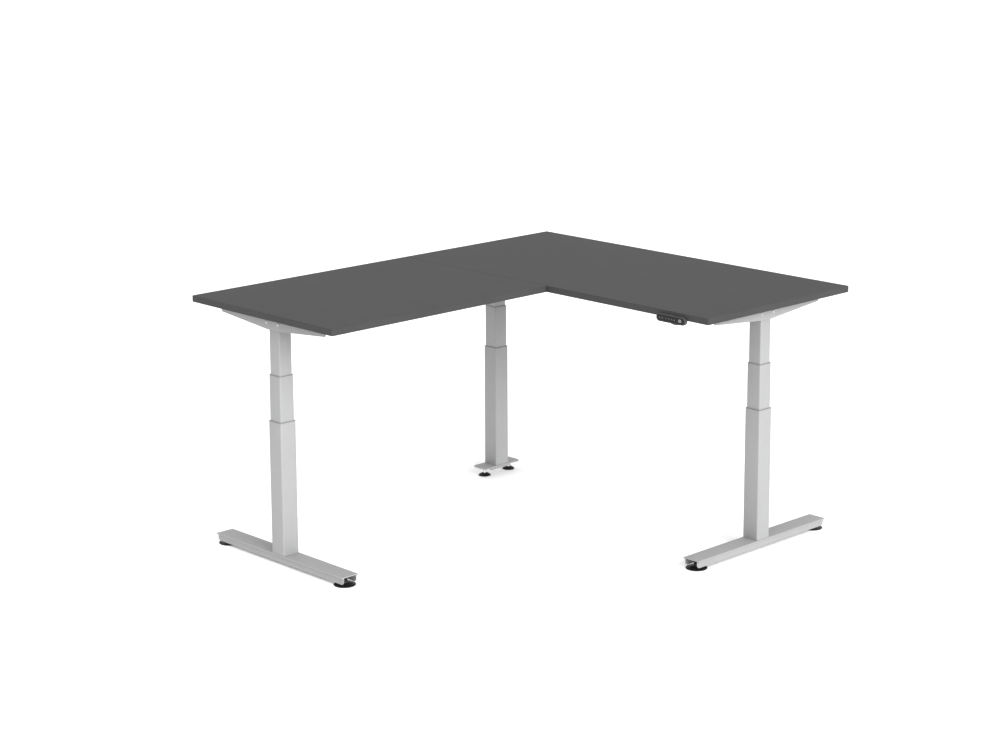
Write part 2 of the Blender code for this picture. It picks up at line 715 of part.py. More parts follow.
def make_screws(steel):
    """The fixed screw, the turning screw and the drive shaft inside each column."""
    low = SHAFT_HIGH - SHAFT_LENGTH
    profile = [(0, low), (SHAFT_RADIUS, low), (SHAFT_RADIUS, SHAFT_HIGH), (0, SHAFT_HIGH)]
    shaft = to_mesh(turned(profile, ROUND_STEPS), "drive_shaft")
    base = to_mesh(base_screw(), "base_screw")
    lift = to_mesh(lift_screw(), "lift_screw")
    for leg in LEGS:
        place(leg + "_base_screw", base, steel, leg_matrix(leg))
        place(leg + "_lift_screw", lift, steel, leg_matrix(leg))
        place(leg + "_drive_shaft", shaft, steel, leg_matrix(leg))


def foot_section():
    """Cross-section of a T-shaped foot: a plate with lips, on two webs."""
    half = FOOT_WIDTH / 2
    web_out = FOOT_WEB_SPACING / 2
    web_in = web_out - FOOT_WEB
    low = FOOT_TOP - FOOT_DROP
    right = [(half, FOOT_TOP), (half, FOOT_TOP - FOOT_LIP), (web_out, FOOT_TOP - FOOT_LIP),
             (web_out, low), (web_in, low), (web_in, FOOT_TOP - FOOT_PLATE)]
    left = [(-side, height) for side, height in reversed(right)]
    return right + left


def foot_bar_mesh():
    """The foot's bar along X, with rounded lips and web corners."""
    start = -FOOT_LENGTH / 2
    outline = [(start, side, height) for side, height in foot_section()]
    shape = extruded(outline, (FOOT_LENGTH, 0, 0))
    low = FOOT_TOP - FOOT_DROP
    web_corners = [edge for edge in shape.edges
                   if all(abs(vert.co.z - low) < SAME_PLACE for vert in edge.verts)
                   and abs(edge.verts[0].co.x - edge.verts[1].co.x) < SAME_PLACE]
    bmesh.ops.bevel(shape, geom=web_corners, offset=FOOT_WEB_ROUND, segments=4, profile=0.5,
                    affect="EDGES")
    lips = [edge for edge in shape.edges
            if all(abs(abs(vert.co.y) - FOOT_WIDTH / 2) < SAME_PLACE for vert in edge.verts)
            and abs(edge.verts[0].co.x - edge.verts[1].co.x) > FOOT_LENGTH / 2]
    bmesh.ops.bevel(shape, geom=lips, offset=FOOT_LIP_ROUND, segments=2, profile=0.5,
                    affect="EDGES")
    return to_mesh(shape, "foot_bar")


def corner_foot_mesh():
    """The corner foot's plate along X, with round corners."""
    shape = bmesh.new()
    half = (CORNER_FOOT_LENGTH / 2, FOOT_WIDTH / 2)
    add_box(shape, (-half[0], -half[1], FOOT_TOP - CORNER_FOOT_PLATE), (*half, FOOT_TOP))
    upright = [edge for edge in shape.edges
               if abs(edge.verts[0].co.z - edge.verts[1].co.z) > CORNER_FOOT_PLATE / 2]
    bmesh.ops.bevel(shape, geom=upright, offset=CORNER_FOOT_CORNER, segments=3, profile=0.5,
                    affect="EDGES")
    return to_mesh(shape, "corner_foot")


def boss_shape(offset, plate_low, boss):
    """Threaded bosses below a foot's plate, one at each end."""
    shape = bmesh.new()
    for sign in (-1, 1):
        add_cylinder(shape, GLIDE_BOSS_RADIUS, (sign * offset, 0, plate_low - boss),
                     (sign * offset, 0, plate_low + CUT_PAST), ROUND_STEPS)
    return shape


def foot_holes(offset, low):
    """Bolt holes for the column, and blind threads for the glides."""
    shape = plate_holes(FOOT_BOLT_PLACES, BOLT_HOLE, FOOT_TOP - 2 * CORNER_FOOT_PLATE,
                        FOOT_TOP + CUT_PAST)
    for sign in (-1, 1):
        add_cylinder(shape, GLIDE_STUD_RADIUS + TOUCH_GAP, (sign * offset, 0, low),
                     (sign * offset, 0, FOOT_TOP - GLIDE_HOLE_COVER), ROUND_STEPS)
    return shape


def make_feet(steel):
    """Two T-shaped feet, and the short foot under the corner column."""
    offset = FOOT_LENGTH / 2 - DISC_INSET
    bar = foot_bar_mesh()
    bosses = to_mesh(boss_shape(offset, FOOT_TOP - FOOT_PLATE, DISC_BOSS), "foot_bosses")
    holes = to_mesh(foot_holes(offset, FOOT_TOP - FOOT_DROP), "foot_holes")
    for leg in ("left", "right"):
        foot = place(leg + "_foot", bar, steel, leg_matrix(leg))
        boolean(foot, "UNION", bosses)
        boolean(foot, "DIFFERENCE", holes)
    plate_low = FOOT_TOP - CORNER_FOOT_PLATE
    below = boss_shape(CONE_SPACING / 2, plate_low, CONE_BOSS)
    half = (CHANNEL_LENGTH / 2, CHANNEL_WIDTH / 2)
    add_box(below, (-half[0], -half[1], plate_low - CHANNEL_DROP), (*half, plate_low + CUT_PAST))
    cuts = foot_holes(CONE_SPACING / 2, plate_low - CHANNEL_DROP)
    inner = [size - CHANNEL_WALL for size in half]
    add_box(cuts, (-inner[0], -inner[1], plate_low - 2 * CHANNEL_DROP), (*inner, plate_low))
    foot = place("corner_foot", corner_foot_mesh(), steel, leg_matrix("corner"))
    boolean(foot, "UNION", to_mesh(below, "corner_foot_channel"))
    boolean(foot, "DIFFERENCE", to_mesh(cuts, "corner_foot_cuts"))


def glide_mesh(name, radius, rim, shoulder, boss_low):
    """A glide: its pad on the floor, the nut that stops it and the stud in the foot."""
    nut_high = boss_low - TOUCH_GAP
    stud_high = FOOT_TOP - GLIDE_HOLE_COVER - TOUCH_GAP
    profile = [
        (0, 0), (radius, 0), (radius, rim), (GLIDE_NECK_RADIUS, shoulder),
        (GLIDE_SHANK_RADIUS, shoulder), (GLIDE_SHANK_RADIUS, nut_high - GLIDE_NUT),
        (GLIDE_NUT_RADIUS, nut_high - GLIDE_NUT),
        (GLIDE_NUT_RADIUS, nut_high), (GLIDE_STUD_RADIUS, nut_high),
        (GLIDE_STUD_RADIUS, stud_high), (0, stud_high),
    ]
    return to_mesh(turned(profile, ROUND_STEPS), name)


def make_glides(plastic):
    """Two glides under each foot."""
    disc_low = FOOT_TOP - FOOT_PLATE - DISC_BOSS
    cone_low = FOOT_TOP - CORNER_FOOT_PLATE - CONE_BOSS
    disc = glide_mesh("disc_glide", DISC_RADIUS, DISC_RIM, DISC_SHOULDER, disc_low)
    cone = glide_mesh("cone_glide", CONE_RADIUS, CONE_RIM, CONE_SHOULDER, cone_low)
    ends = {"left": ("outer", "inner"), "right": ("front", "rear"), "corner": ("rear", "front")}
    for leg, names in ends.items():
        mesh, offset = (cone, CONE_SPACING / 2) if leg == "corner" else (
            disc, FOOT_LENGTH / 2 - DISC_INSET)
        for name, sign in zip(names, (-1, 1)):
            shift = Matrix.Translation((sign * offset, 0, 0))
            place(leg + "_" + name + "_glide", mesh, plastic, leg_matrix(leg) @ shift)


def make_handset(case_surface, panel_surface, screen_surface, key_surface):
    """The handset: its case and tongue, the panel, the display and six keys."""
    centre = Matrix.Translation(handset_centre())
    bar = extruded(stadium(HANDSET_LENGTH, HANDSET_HEIGHT, 0), (0, HANDSET_DEPTH, 0))
    case = place("handset_case", to_mesh(bar, "handset_bar"), case_surface, centre)
    top = STEEL_TOP - handset_centre().z
    tongue = bmesh.new()
    length, depth, thickness = HANDSET_TONGUE
    low = (-length / 2, HANDSET_DEPTH / 2, top - thickness)
    add_box(tongue, low, (length / 2, HANDSET_DEPTH + depth, top))
    boolean(case, "UNION", to_mesh(tongue, "handset_tongue"))
    pocket_size = (HANDSET_LENGTH - 2 * HANDSET_RIM, HANDSET_HEIGHT - 2 * HANDSET_RIM)
    cuts = extruded(stadium(*pocket_size, -CUT_PAST), (0, HANDSET_POCKET + CUT_PAST, 0))
    for sign in (-1, 1):
        x = sign * HANDSET_SCREW_SPACING / 2
        y = HANDSET_DEPTH + TOUCH_GAP + HANDSET_TONGUE[1] / 2
        add_cylinder(cuts, WOOD_SCREW_HOLE, (x, y, top - thickness - CUT_PAST),
                     (x, y, top + CUT_PAST))
    boolean(case, "DIFFERENCE", to_mesh(cuts, "handset_cuts"))
    make_panel(centre, pocket_size, panel_surface, screen_surface)
    make_keys(centre, key_surface)


def make_panel(centre, pocket_size, panel_surface, screen_surface):
    """The handset's front panel, with its key holes and the display in its window."""
    panel_size = [size - 2 * TOUCH_GAP for size in pocket_size]
    front = extruded(stadium(*panel_size, PANEL_SETBACK), (0, PANEL_THICKNESS, 0))
    panel = place("handset_panel", to_mesh(front, "panel"), panel_surface, centre)
    shape = bmesh.new()
    for along in KEY_PLACES.values():
        x = along - HANDSET_LENGTH / 2
        add_cylinder(shape, KEY_RADIUS + TOUCH_GAP, (x, 0, 0), (x, 2 * PANEL_THICKNESS, 0))
    x = DISPLAY_PLACE - HANDSET_LENGTH / 2
    half = [size / 2 for size in DISPLAY_SIZE]
    low = Vector((x - half[0], PANEL_SETBACK, -half[1]))
    high = Vector((x + half[0], PANEL_SETBACK + PANEL_THICKNESS, half[1]))
    room = Vector((TOUCH_GAP, CUT_PAST, TOUCH_GAP))
    add_box(shape, low - room, high + room)
    boolean(panel, "DIFFERENCE", to_mesh(shape, "panel_holes"))
    screen = bmesh.new()
    add_box(screen, low, high)
    place("handset_display", to_mesh(screen, "display"), screen_surface, centre)


def make_keys(centre, surface):
    """Round keys that stand proud of the panel, each held by a flange behind it."""
    back = PANEL_SETBACK + PANEL_THICKNESS + TOUCH_GAP
    profile = [(0, KEY_PROUD), (KEY_RADIUS, KEY_PROUD), (KEY_RADIUS, -back),
               (KEY_FLANGE_RADIUS, -back), (KEY_FLANGE_RADIUS, -back - KEY_FLANGE),
               (0, -back - KEY_FLANGE)]
    key = to_mesh(turned(profile), "key")
    face_front = Matrix.Rotation(math.radians(90), 4, "X")
    for name, along in KEY_PLACES.items():
        shift = Matrix.Translation((along - HANDSET_LENGTH / 2, 0, 0))
        place(name, key, surface, centre @ shift @ face_front)


def make_control_box(case_surface, circuit_surface):
    """The control box: a case open at the top, with motor sockets and a mains inlet in its ends."""
    matrix = Matrix.Translation(control_box_centre())
    length, width, height = CONTROL_BOX
    shape = bmesh.new()
    add_box(shape, (-length / 2, -width / 2, -height), (length / 2, width / 2, 0))
    case = place("control_box_case", to_mesh(shape, "control_box"), case_surface, matrix)
    ears = bmesh.new()
    reach = length / 2 + CONTROL_EAR
    add_box(ears, (-reach, -CONTROL_EAR, -CONTROL_EAR_THICKNESS), (reach, CONTROL_EAR, 0))
    boolean(case, "UNION", to_mesh(ears, "control_ears"))
    inside = [size / 2 - CONTROL_BOX_WALL for size in (length, width)]
    room = bmesh.new()
    add_box(room, (-inside[0], -inside[1], CONTROL_BOX_WALL - height), (*inside, CUT_PAST))
    boolean(case, "DIFFERENCE", to_mesh(room, "control_box_room"))
    middle = -height / 2
    half = [size / 2 for size in INLET_SIZE]
    block = bmesh.new()
    out = length / 2 + INLET_PROUD
    add_box(block, (out - INLET_DEPTH, -half[0], middle - half[1]), (out, half[0], middle + half[1]))
    boolean(case, "UNION", to_mesh(block, "inlet"))
    cuts = bmesh.new()
    mouth = [size - INLET_WALL for size in half]
    add_box(cuts, (out - INLET_DEPTH + INLET_WALL, -mouth[0], middle - mouth[1]),
            (out + CUT_PAST, mouth[0], middle + mouth[1]))
    half = [size / 2 for size in SOCKET_SIZE]
    spacing = 2 * inside[1] / SOCKET_COUNT
    for index in range(SOCKET_COUNT):
        y = (index + 0.5) * spacing - inside[1]
        low = (-length / 2 - CUT_PAST, y - half[0], middle - half[1])
        add_box(cuts, low, (-inside[0] + CUT_PAST, y + half[0], middle + half[1]))
    for sign in (-1, 1):
        x = sign * (length + CONTROL_EAR) / 2
        low = (x, 0, -CONTROL_EAR_THICKNESS - CUT_PAST)
        add_cylinder(cuts, WOOD_SCREW_HOLE, low, (x, 0, CUT_PAST))
    boolean(case, "DIFFERENCE", to_mesh(cuts, "control_box_cuts"))
    make_circuit_board(matrix, circuit_surface)


def make_circuit_board(matrix, surface):
    """The circuit board on the control box's floor, with its transformer."""
    length, width, height = CONTROL_BOX
    floor = CONTROL_BOX_WALL - height + TOUCH_GAP
    start = CONTROL_BOX_WALL + TOUCH_GAP - length / 2
    end = length / 2 + INLET_PROUD - INLET_DEPTH - CIRCUIT_INLET_SPACE
    side = width / 2 - CONTROL_BOX_WALL - CIRCUIT_SIDE_SPACE
    shape = bmesh.new()
    add_box(shape, (start, -side, floor), (end, side, floor + CIRCUIT_THICKNESS))
    board = place("control_circuit_board", to_mesh(shape, "circuit_board"), surface, matrix)
    half = [size / 2 for size in TRANSFORMER[:2]]
    block = bmesh.new()
    low = floor + CIRCUIT_THICKNESS / 2
    add_box(block, (-half[0], -half[1], low), (*half, low + TRANSFORMER[2]))
    boolean(board, "UNION", to_mesh(block, "transformer"))


def clear_scene():
    """Start from an empty scene."""
    for piece in list(bpy.data.objects):
        bpy.data.objects.remove(piece, do_unlink=True)


def main():
    clear_scene()
    laminate = make_material("desktop_laminate", (0.122, 0.122, 0.125), 0.55)
    steel = make_material("silver_paint", (0.46, 0.46, 0.47), 0.42, 0.35)
    zinc = make_material("zinc", (0.62, 0.62, 0.60), 0.35, 0.9)
    black = make_material("black_plastic", (0.016, 0.016, 0.017), 0.5)
    dark = make_material("handset_plastic", (0.05, 0.05, 0.053), 0.4)
    panel = make_material("handset_film", (0.02, 0.02, 0.022), 0.25)
    screen = make_material("display_window", (0.55, 0.60, 0.62), 0.15)
    screw_steel = make_material("screw_steel", (0.42, 0.42, 0.43), 0.3, 1.0)
    motor = make_material("motor_casting", (0.33, 0.33, 0.34), 0.45, 0.8)
    circuit = make_material("circuit_board", (0.03, 0.16, 0.06), 0.5)

    make_boards(laminate)
    make_joining_plates(zinc)
    make_brackets(steel)
    make_rails(steel)
    make_tubes(steel)
    make_collars(black)
    make_motors(motor)
    make_screws(screw_steel)
    make_feet(steel)
    make_glides(black)
    make_handset(dark, panel, screen, dark)
    make_control_box(black, circuit)


main()
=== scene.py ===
"""Looks of the height adjustable corner desk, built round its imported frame. Metres, +Z up.

Tubes, brackets, rails, feet, glides, motors, handset and control box get finely shaped pieces in
place of their plain solids, and screws are added. The boards, the screws and shafts inside the
columns and the circuit board keep their own shapes.
"""

import math

import bmesh
import bpy
from mathutils import Matrix, Vector


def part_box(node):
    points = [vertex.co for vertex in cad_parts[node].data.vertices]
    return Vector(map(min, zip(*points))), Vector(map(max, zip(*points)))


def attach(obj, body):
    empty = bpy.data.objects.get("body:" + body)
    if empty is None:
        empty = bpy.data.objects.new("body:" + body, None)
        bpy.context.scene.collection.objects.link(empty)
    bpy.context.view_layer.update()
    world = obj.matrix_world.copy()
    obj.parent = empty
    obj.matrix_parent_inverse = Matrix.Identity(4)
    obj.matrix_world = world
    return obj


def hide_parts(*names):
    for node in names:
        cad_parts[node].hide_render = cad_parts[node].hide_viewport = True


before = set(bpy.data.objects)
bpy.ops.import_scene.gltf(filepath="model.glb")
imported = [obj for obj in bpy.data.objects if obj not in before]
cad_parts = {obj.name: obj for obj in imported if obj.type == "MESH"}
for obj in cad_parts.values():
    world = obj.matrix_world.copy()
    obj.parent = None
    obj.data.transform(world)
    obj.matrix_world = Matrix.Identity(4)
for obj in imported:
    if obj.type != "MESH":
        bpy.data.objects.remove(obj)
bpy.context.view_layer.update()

# Clearance between pieces that touch, and the distance under which two points are one
GAP = 0.0003
SAME_PLACE = 1e-6

# Columns
LEG_TURNS = {"left": 0.0, "right": 90.0, "corner": -90.0}
TUBE_WALL = 0.0015
TUBE_CORNER = 0.005
TUBE_EDGE = 0.0003
STAGE_STEP = 0.003
COLLAR_LIP = 0.002
COLLAR_EDGE = 0.0004
BASE_PLATE = 0.006
MIDDLE_PLATE = 0.0035
NUT_BLOCK = 0.020
BASE_SCREW_RADIUS = 0.008
LIFT_SCREW_RADIUS = 0.013
HEAD_FLANGE = 0.003
HEAD_CORNER = 0.004

# Brackets and rails
BRACKET_WALL = 0.0025
BRACKET_BEND = 0.004
BRACKET_BEND_STEPS = 6
BRACKET_EDGE = 0.0004
BRACKET_END_DEPTH = 0.028
BRACKET_END_SLANT = 0.010
BRACKET_FLAT = 0.060
BRACKET_SCREW_SPACING = 0.065
BRACKET_SCREW_DROP = 0.027
BRACKET_BOARD_SCREWS = (0.180, 0.270)
RAIL_WALL = 0.002
RAIL_BEND = 0.003
RAIL_BEND_STEPS = 5
RAIL_EDGE = 0.0003
RAIL_END_PLATE = 0.005
RAIL_SPACING = 0.260
RAIL_BOLT_SPACING = 0.020
RAIL_BOLT_DROP = 0.016
JOINING_CORNER = 0.004
JOINING_EDGE = 0.0004
JOINING_SCREW_PLACES = (0.018, 0.050)

# Feet
FOOT_PLATE = 0.004
FOOT_LIP = 0.006
FOOT_LIP_ROUND = 0.0026
FOOT_LIP_STEPS = 5
FOOT_OVERHANG = 0.0075
FOOT_WEB = 0.0025
FOOT_WEB_ROUND = 0.014
FOOT_WEB_STEPS = 8
FOOT_EDGE_ROUND = 0.0005
FOOT_BOLT_PLACES = (0.024, 0.018)
CORNER_PLATE = 0.006
CORNER_PLATE_ROUND = 0.014
CORNER_PLATE_EDGE = 0.0012
CHANNEL_LENGTH = 0.110
CHANNEL_WIDTH = 0.056
CHANNEL_WALL = 0.0025
CHANNEL_CORNER = 0.003
CHANNEL_EDGE = 0.0005
BOSS_RADIUS = 0.008
BOSS_CHAMFER = 0.0008
DISC_BOSS = 0.010
CONE_BOSS = 0.006

# Glides: the flat discs below the long feet, and the small cones below the corner foot. A slope
# is a list of (radius, height) from the rim inwards, and a flat is the radius of the sole.
GLIDE_NODES = {
    "left": ("left_outer_glide", "left_inner_glide"),
    "right": ("right_front_glide", "right_rear_glide"),
    "corner": ("corner_rear_glide", "corner_front_glide"),
}
GLIDE_STUD_RADIUS = 0.004
THREAD_PITCH = 0.00125
THREAD_DEPTH = 0.0006
GLIDE_NUT_RADIUS = 0.009
GLIDE_NUT = 0.006
GLIDE_NUT_EDGE = 0.0006
DISC_RADIUS = 0.040
DISC_FLAT = 0.0388
DISC_RIM = 0.0014
DISC_SLOPE = ((0.0372, 0.0034), (0.0365, 0.0030), (0.0335, 0.0034), (0.0150, 0.0072),
              (0.0125, 0.0082), (0.0112, 0.0100))
DISC_HUB = 0.0104
DISC_HUB_TOP = 0.0096
DISC_HUB_CHAMFER = 0.0012
CONE_RADIUS = 0.0255
CONE_FLAT = 0.0245
CONE_RIM = 0.0012
CONE_SLOPE = ((0.0240, 0.0032), (0.0216, 0.0058), (0.0180, 0.0082), (0.0140, 0.0098))
CONE_CROWN = (0.0105, 0.0094)
CONE_CROWN_ROUND = 0.0014
CONE_HIGH = 0.0108
CONE_SOCKET = 0.0080

# Motors
MOTOR_RADIUS = 0.0165
MOTOR_LENGTH = 0.080
MOTOR_CHAMFER = 0.002
MOTOR_CAP = 0.012
MOTOR_CAP_STEP = 0.0012
MOTOR_CAP_SLOPE = 0.001
MOTOR_CAP_END = 0.003
MOTOR_BEARING = (0.006, 0.005)
MOTOR_BEARING_LENGTH = 0.003
GEARBOX_ROUND = 0.005
GEARBOX_EDGE = 0.0012

# Handset
KEY_NODES = ("up_key", "down_key", "memory_key_1", "memory_key_2", "memory_key_3", "set_key")
HANDSET_ROUND = 0.0016
HANDSET_RIM = 0.003
HANDSET_POCKET = 0.006
TONGUE_THICKNESS = 0.004
TONGUE_LENGTH = 0.100
TONGUE_EDGE = 0.0008
TONGUE_OVERLAP = 0.002
HANDSET_SCREW_PLACES = (0.035, 0.026)
SWELLING_SIZE = (0.021, 0.0058, 0.0046)
SWELLING_PLACE = 0.086
PANEL_THICKNESS = 0.0016
PANEL_SETBACK = 0.0004
KEY_FACE_RADIUS = 0.0042
KEY_RIM = 0.0008
KEY_ROUND = 0.0005
KEY_DISH = (0.0003, 0.0002)
KEY_FLANGE_REACH = 0.001
KEY_FLANGE = 0.0008
GLASS_CORNER = 0.0015
GLASS_SETBACK = 0.0002
LIT_WINDOW = (0.0135, 0.0105)
LIT_WINDOW_CORNER = 0.0008
LIT_WINDOW_SETBACK = 0.0001
LIT_WINDOW_SHIFT = 0.0005
HEIGHT_SHOWN = "95"
DIGIT_SCALE = 1.5
DIGIT_SPACING = 0.0052
DIGIT_SETBACK = 0.00008
NUMERAL_SIZE = 0.0052
ARROW_RADIUS = 0.0019
RING_RADII = (0.0012, 0.0018)
PRINT_THICKNESS = 0.00012

# Control box
SOCKET_COUNT = 4
SOCKET_SIZE = (0.016, 0.012)
SOCKET_MARGIN = 0.0025
SOCKET_PROUD = 0.0015
SOCKET_DEPTH = 0.001
SOCKET_WALL = 0.0012
SOCKET_EDGE = 0.0003
INLET_SIZE = (0.028, 0.020)
INLET_PROUD = 0.0018
PIN_PLACES = ((-0.006, -0.002), (0.006, -0.002), (0, 0.004))
PIN_HALF = (0.001, 0.002)
PIN_REACH = 0.0015
PIN_EDGE = 0.0003
CONTROL_EDGE = 0.003
CONTROL_EAR = 0.016
CONTROL_EAR_THICKNESS = 0.003
CONTROL_EAR_CORNER = 0.005
CONTROL_EAR_EDGE = 0.0005
RIB_COUNT = 7
RIB_SPACING = 0.015
RIB_HALF = 0.001
RIB_HEIGHT = 0.0010
RIB_SHARE = 0.7
RIB_EDGE = 0.0004

# Screw sizes: head radius, head height. Then the head's form, as shares of the two: the height of
# its straight side, the radius of its flat crown and of the drive in it, and the drive's depth.
BUTTON_HEAD = (0.0052, 0.0030)
WOOD_SCREW_HEAD = (0.0042, 0.0018)
BOLT_HEAD = (0.0050, 0.0038)
HEAD_SIDE = 0.25
HEAD_CROWN = 0.55
HEAD_BORDER = 0.02
SIX_DRIVE = 0.88
CROSS_DRIVE = (0.95, 0.3)
CROSS_ARM = 0.2
DRIVE_DEPTH = 0.6

# Facets of round shapes
ROUND_STEPS = 32
DISC_STEPS = 72
CORNER_STEPS = 8
SCREW_STEPS = 24
STUD_STEPS = 20
SHARP_ANGLE = 35
SQUARE_ANGLE = 60

# The line between a board's top skin and its edge band: how far below the top it lies, and half
# its height
EDGE_BAND_LINE_DROP = 0.0022
EDGE_BAND_LINE = 0.00015
EDGE_BAND_COLOUR = (0.030, 0.030, 0.031, 1)

# Light: strength of the white surround and of the floor's own glow, the floor's half side, the
# spread of the soft lights, and each one's strength, height above the horizon and turn from +X,
# in degrees
SURROUND = 1.0
FLOOR_GLOW = 0.15
FLOOR_HALF = 80.0
LIGHT_SPREAD = 40
LIGHTS = (("key_light", 3.1, 24, -8), ("fill_light", 0.5, 42, -80))

# Camera, by its place, turn, downward pitch and framing
CAMERA_PLACE = (5.863, -5.742, 2.687)
CAMERA_TURN = 44.964
CAMERA_PITCH = 11.530
CAMERA_LENS = 81.45
CAMERA_SHIFT = (-0.0482, -0.100)


# --- Places, from the frame ---

def box_of(node):
    """Lowest and highest corner of a node at rest."""
    low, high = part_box(node)
    return Vector(low), Vector(high)


def leg_matrix(leg):
    """From a column's own axes (X along its foot, origin on the floor) to the desk's."""
    centre = centre_of(leg + "_outer_tube")
    turn = Matrix.Rotation(math.radians(LEG_TURNS[leg]), 4, "Z")
    return Matrix.Translation((centre.x, centre.y, 0)) @ turn


def across(node):
    """The shorter of a node's two level sides."""
    low, high = box_of(node)
    return min(high.x - low.x, high.y - low.y)


def length_of(node):
    """The longer of a node's two level sides."""
    low, high = box_of(node)
    return max(high.x - low.x, high.y - low.y)


def centre_of(node):
    """The middle of a node's box."""
    low, high = box_of(node)
    return (low + high) / 2


BOARD_LOW, BOARD_HIGH = box_of("main_desktop")
UNDERSIDE = BOARD_LOW.z
STEEL_TOP = UNDERSIDE - GAP
OUTER_HALF = across("left_outer_tube") / 2
MIDDLE_HALF = across("left_middle_tube") / 2
INNER_HALF = MIDDLE_HALF - STAGE_STEP
HANDSET_MIDDLE = centre_of("handset_display").z
DOWNWARDS = (0, 0, -1)
FACING_FRONT = Matrix.Rotation(math.pi / 2, 4, "X")


# --- Materials ---

def input_node(nodes, kind, **values):
    """A shader node with some of its inputs set by name."""
    node = nodes.new(kind)
    for name, value in values.items():
        node.inputs[name.replace("_", " ")].default_value = value
    return node


def grainy(name, colour, roughness, metallic=0.0, spread=0.05, patch=0.05, grain=0.001,
           depth=0.00002, rough_spread=0.04, shine=0.5):
    """A finish whose colour and gloss vary softly over patches, under a fine grain."""
    surface = bpy.data.materials.new(name)
    surface.use_nodes = True
    nodes, links = surface.node_tree.nodes, surface.node_tree.links
    shader = nodes["Principled BSDF"]
    shader.inputs["Metallic"].default_value = metallic
    shader.inputs["Specular IOR Level"].default_value = shine
    place = nodes.new("ShaderNodeTexCoord")
    mapping = nodes.new("ShaderNodeMapping")
    links.new(place.outputs["Object"], mapping.inputs["Vector"])
    cloud = input_node(nodes, "ShaderNodeTexNoise", Scale=1 / patch, Detail=3.0, Roughness=0.55)
    speck = input_node(nodes, "ShaderNodeTexNoise", Scale=1 / grain, Detail=2.0, Roughness=0.6)
    for noise in (cloud, speck):
        links.new(mapping.outputs["Vector"], noise.inputs["Vector"])
    both = nodes.new("ShaderNodeMath")
    both.operation = "ADD"
    links.new(cloud.outputs["Fac"], both.inputs[0])
    links.new(speck.outputs["Fac"], both.inputs[1])
    ramp = nodes.new("ShaderNodeMapRange")
    ramp.inputs["From Min"].default_value = 0.7
    ramp.inputs["From Max"].default_value = 1.3
    links.new(both.outputs["Value"], ramp.inputs["Value"])
    mix = nodes.new("ShaderNodeMix")
    mix.data_type = "RGBA"
    mix.inputs["A"].default_value = (*[c * (1 - spread) for c in colour], 1)
    mix.inputs["B"].default_value = (*[min(c * (1 + spread), 1) for c in colour], 1)
    links.new(ramp.outputs["Result"], mix.inputs["Factor"])
    links.new(mix.outputs["Result"], shader.inputs["Base Color"])
    gloss = nodes.new("ShaderNodeMapRange")
    gloss.inputs["To Min"].default_value = roughness - rough_spread
    gloss.inputs["To Max"].default_value = roughness + rough_spread
    links.new(cloud.outputs["Fac"], gloss.inputs["Value"])
    links.new(gloss.outputs["Result"], shader.inputs["Roughness"])
    bump = input_node(nodes, "ShaderNodeBump", Strength=0.6, Distance=depth)
    links.new(speck.outputs["Fac"], bump.inputs["Height"])
    links.new(bump.outputs["Normal"], shader.inputs["Normal"])
    return surface


def laminate():
    """Dark grey melamine with a fine peppered skin, and a thin dark line along its edge band."""
    surface = grainy("desktop_laminate", (0.046, 0.046, 0.0468), 0.70, spread=0.10, patch=0.18,
                     grain=0.0016, depth=0.00003, shine=0.20)
    nodes, links = surface.node_tree.nodes, surface.node_tree.links
    shader = nodes["Principled BSDF"]
    face = shader.inputs["Base Color"].links[0].from_socket
    place = nodes["Texture Coordinate"]
    split = nodes.new("ShaderNodeSeparateXYZ")
    links.new(place.outputs["Object"], split.inputs["Vector"])
    line = nodes.new("ShaderNodeMath")
    line.operation = "COMPARE"
    line.inputs[1].default_value = BOARD_HIGH.z - EDGE_BAND_LINE_DROP
    line.inputs[2].default_value = EDGE_BAND_LINE
    links.new(split.outputs["Z"], line.inputs[0])
    band = nodes.new("ShaderNodeMix")
    band.data_type = "RGBA"
    band.inputs["B"].default_value = EDGE_BAND_COLOUR
    links.new(line.outputs["Value"], band.inputs["Factor"])
    links.new(face, band.inputs["A"])
    links.new(band.outputs["Result"], shader.inputs["Base Color"])
    return surface


def threaded(name, colour):
    """Turned steel with a thread's ridges round its axis."""
    surface = grainy(name, colour, 0.30, metallic=1.0, spread=0.06, patch=0.02, grain=0.0008)
    nodes, links = surface.node_tree.nodes, surface.node_tree.links
    ridges = input_node(nodes, "ShaderNodeTexWave", Scale=80.0, Distortion=0.0)
    ridges.bands_direction = "Z"
    links.new(nodes["Mapping"].outputs["Vector"], ridges.inputs["Vector"])
    bump = input_node(nodes, "ShaderNodeBump", Strength=0.8, Distance=0.0006)
    links.new(ridges.outputs["Fac"], bump.inputs["Height"])
    links.new(nodes["Bump"].outputs["Normal"], bump.inputs["Normal"])
    links.new(bump.outputs["Normal"], nodes["Principled BSDF"].inputs["Normal"])
    return surface


def printed_circuit():
    """Green board with paler tracks in a grid."""
    surface = grainy("circuit_board", (0.03, 0.16, 0.06), 0.45, spread=0.2, patch=0.01)
    nodes, links = surface.node_tree.nodes, surface.node_tree.links
    shader = nodes["Principled BSDF"]
    face = shader.inputs["Base Color"].links[0].from_socket
    tracks = input_node(nodes, "ShaderNodeTexBrick", Scale=90.0, Mortar_Size=0.03)
    links.new(nodes["Mapping"].outputs["Vector"], tracks.inputs["Vector"])
    mix = nodes.new("ShaderNodeMix")
    mix.data_type = "RGBA"
    mix.inputs["B"].default_value = (0.10, 0.30, 0.12, 1)
    links.new(tracks.outputs["Fac"], mix.inputs["Factor"])
    links.new(face, mix.inputs["A"])
    links.new(mix.outputs["Result"], shader.inputs["Base Color"])
    return surface


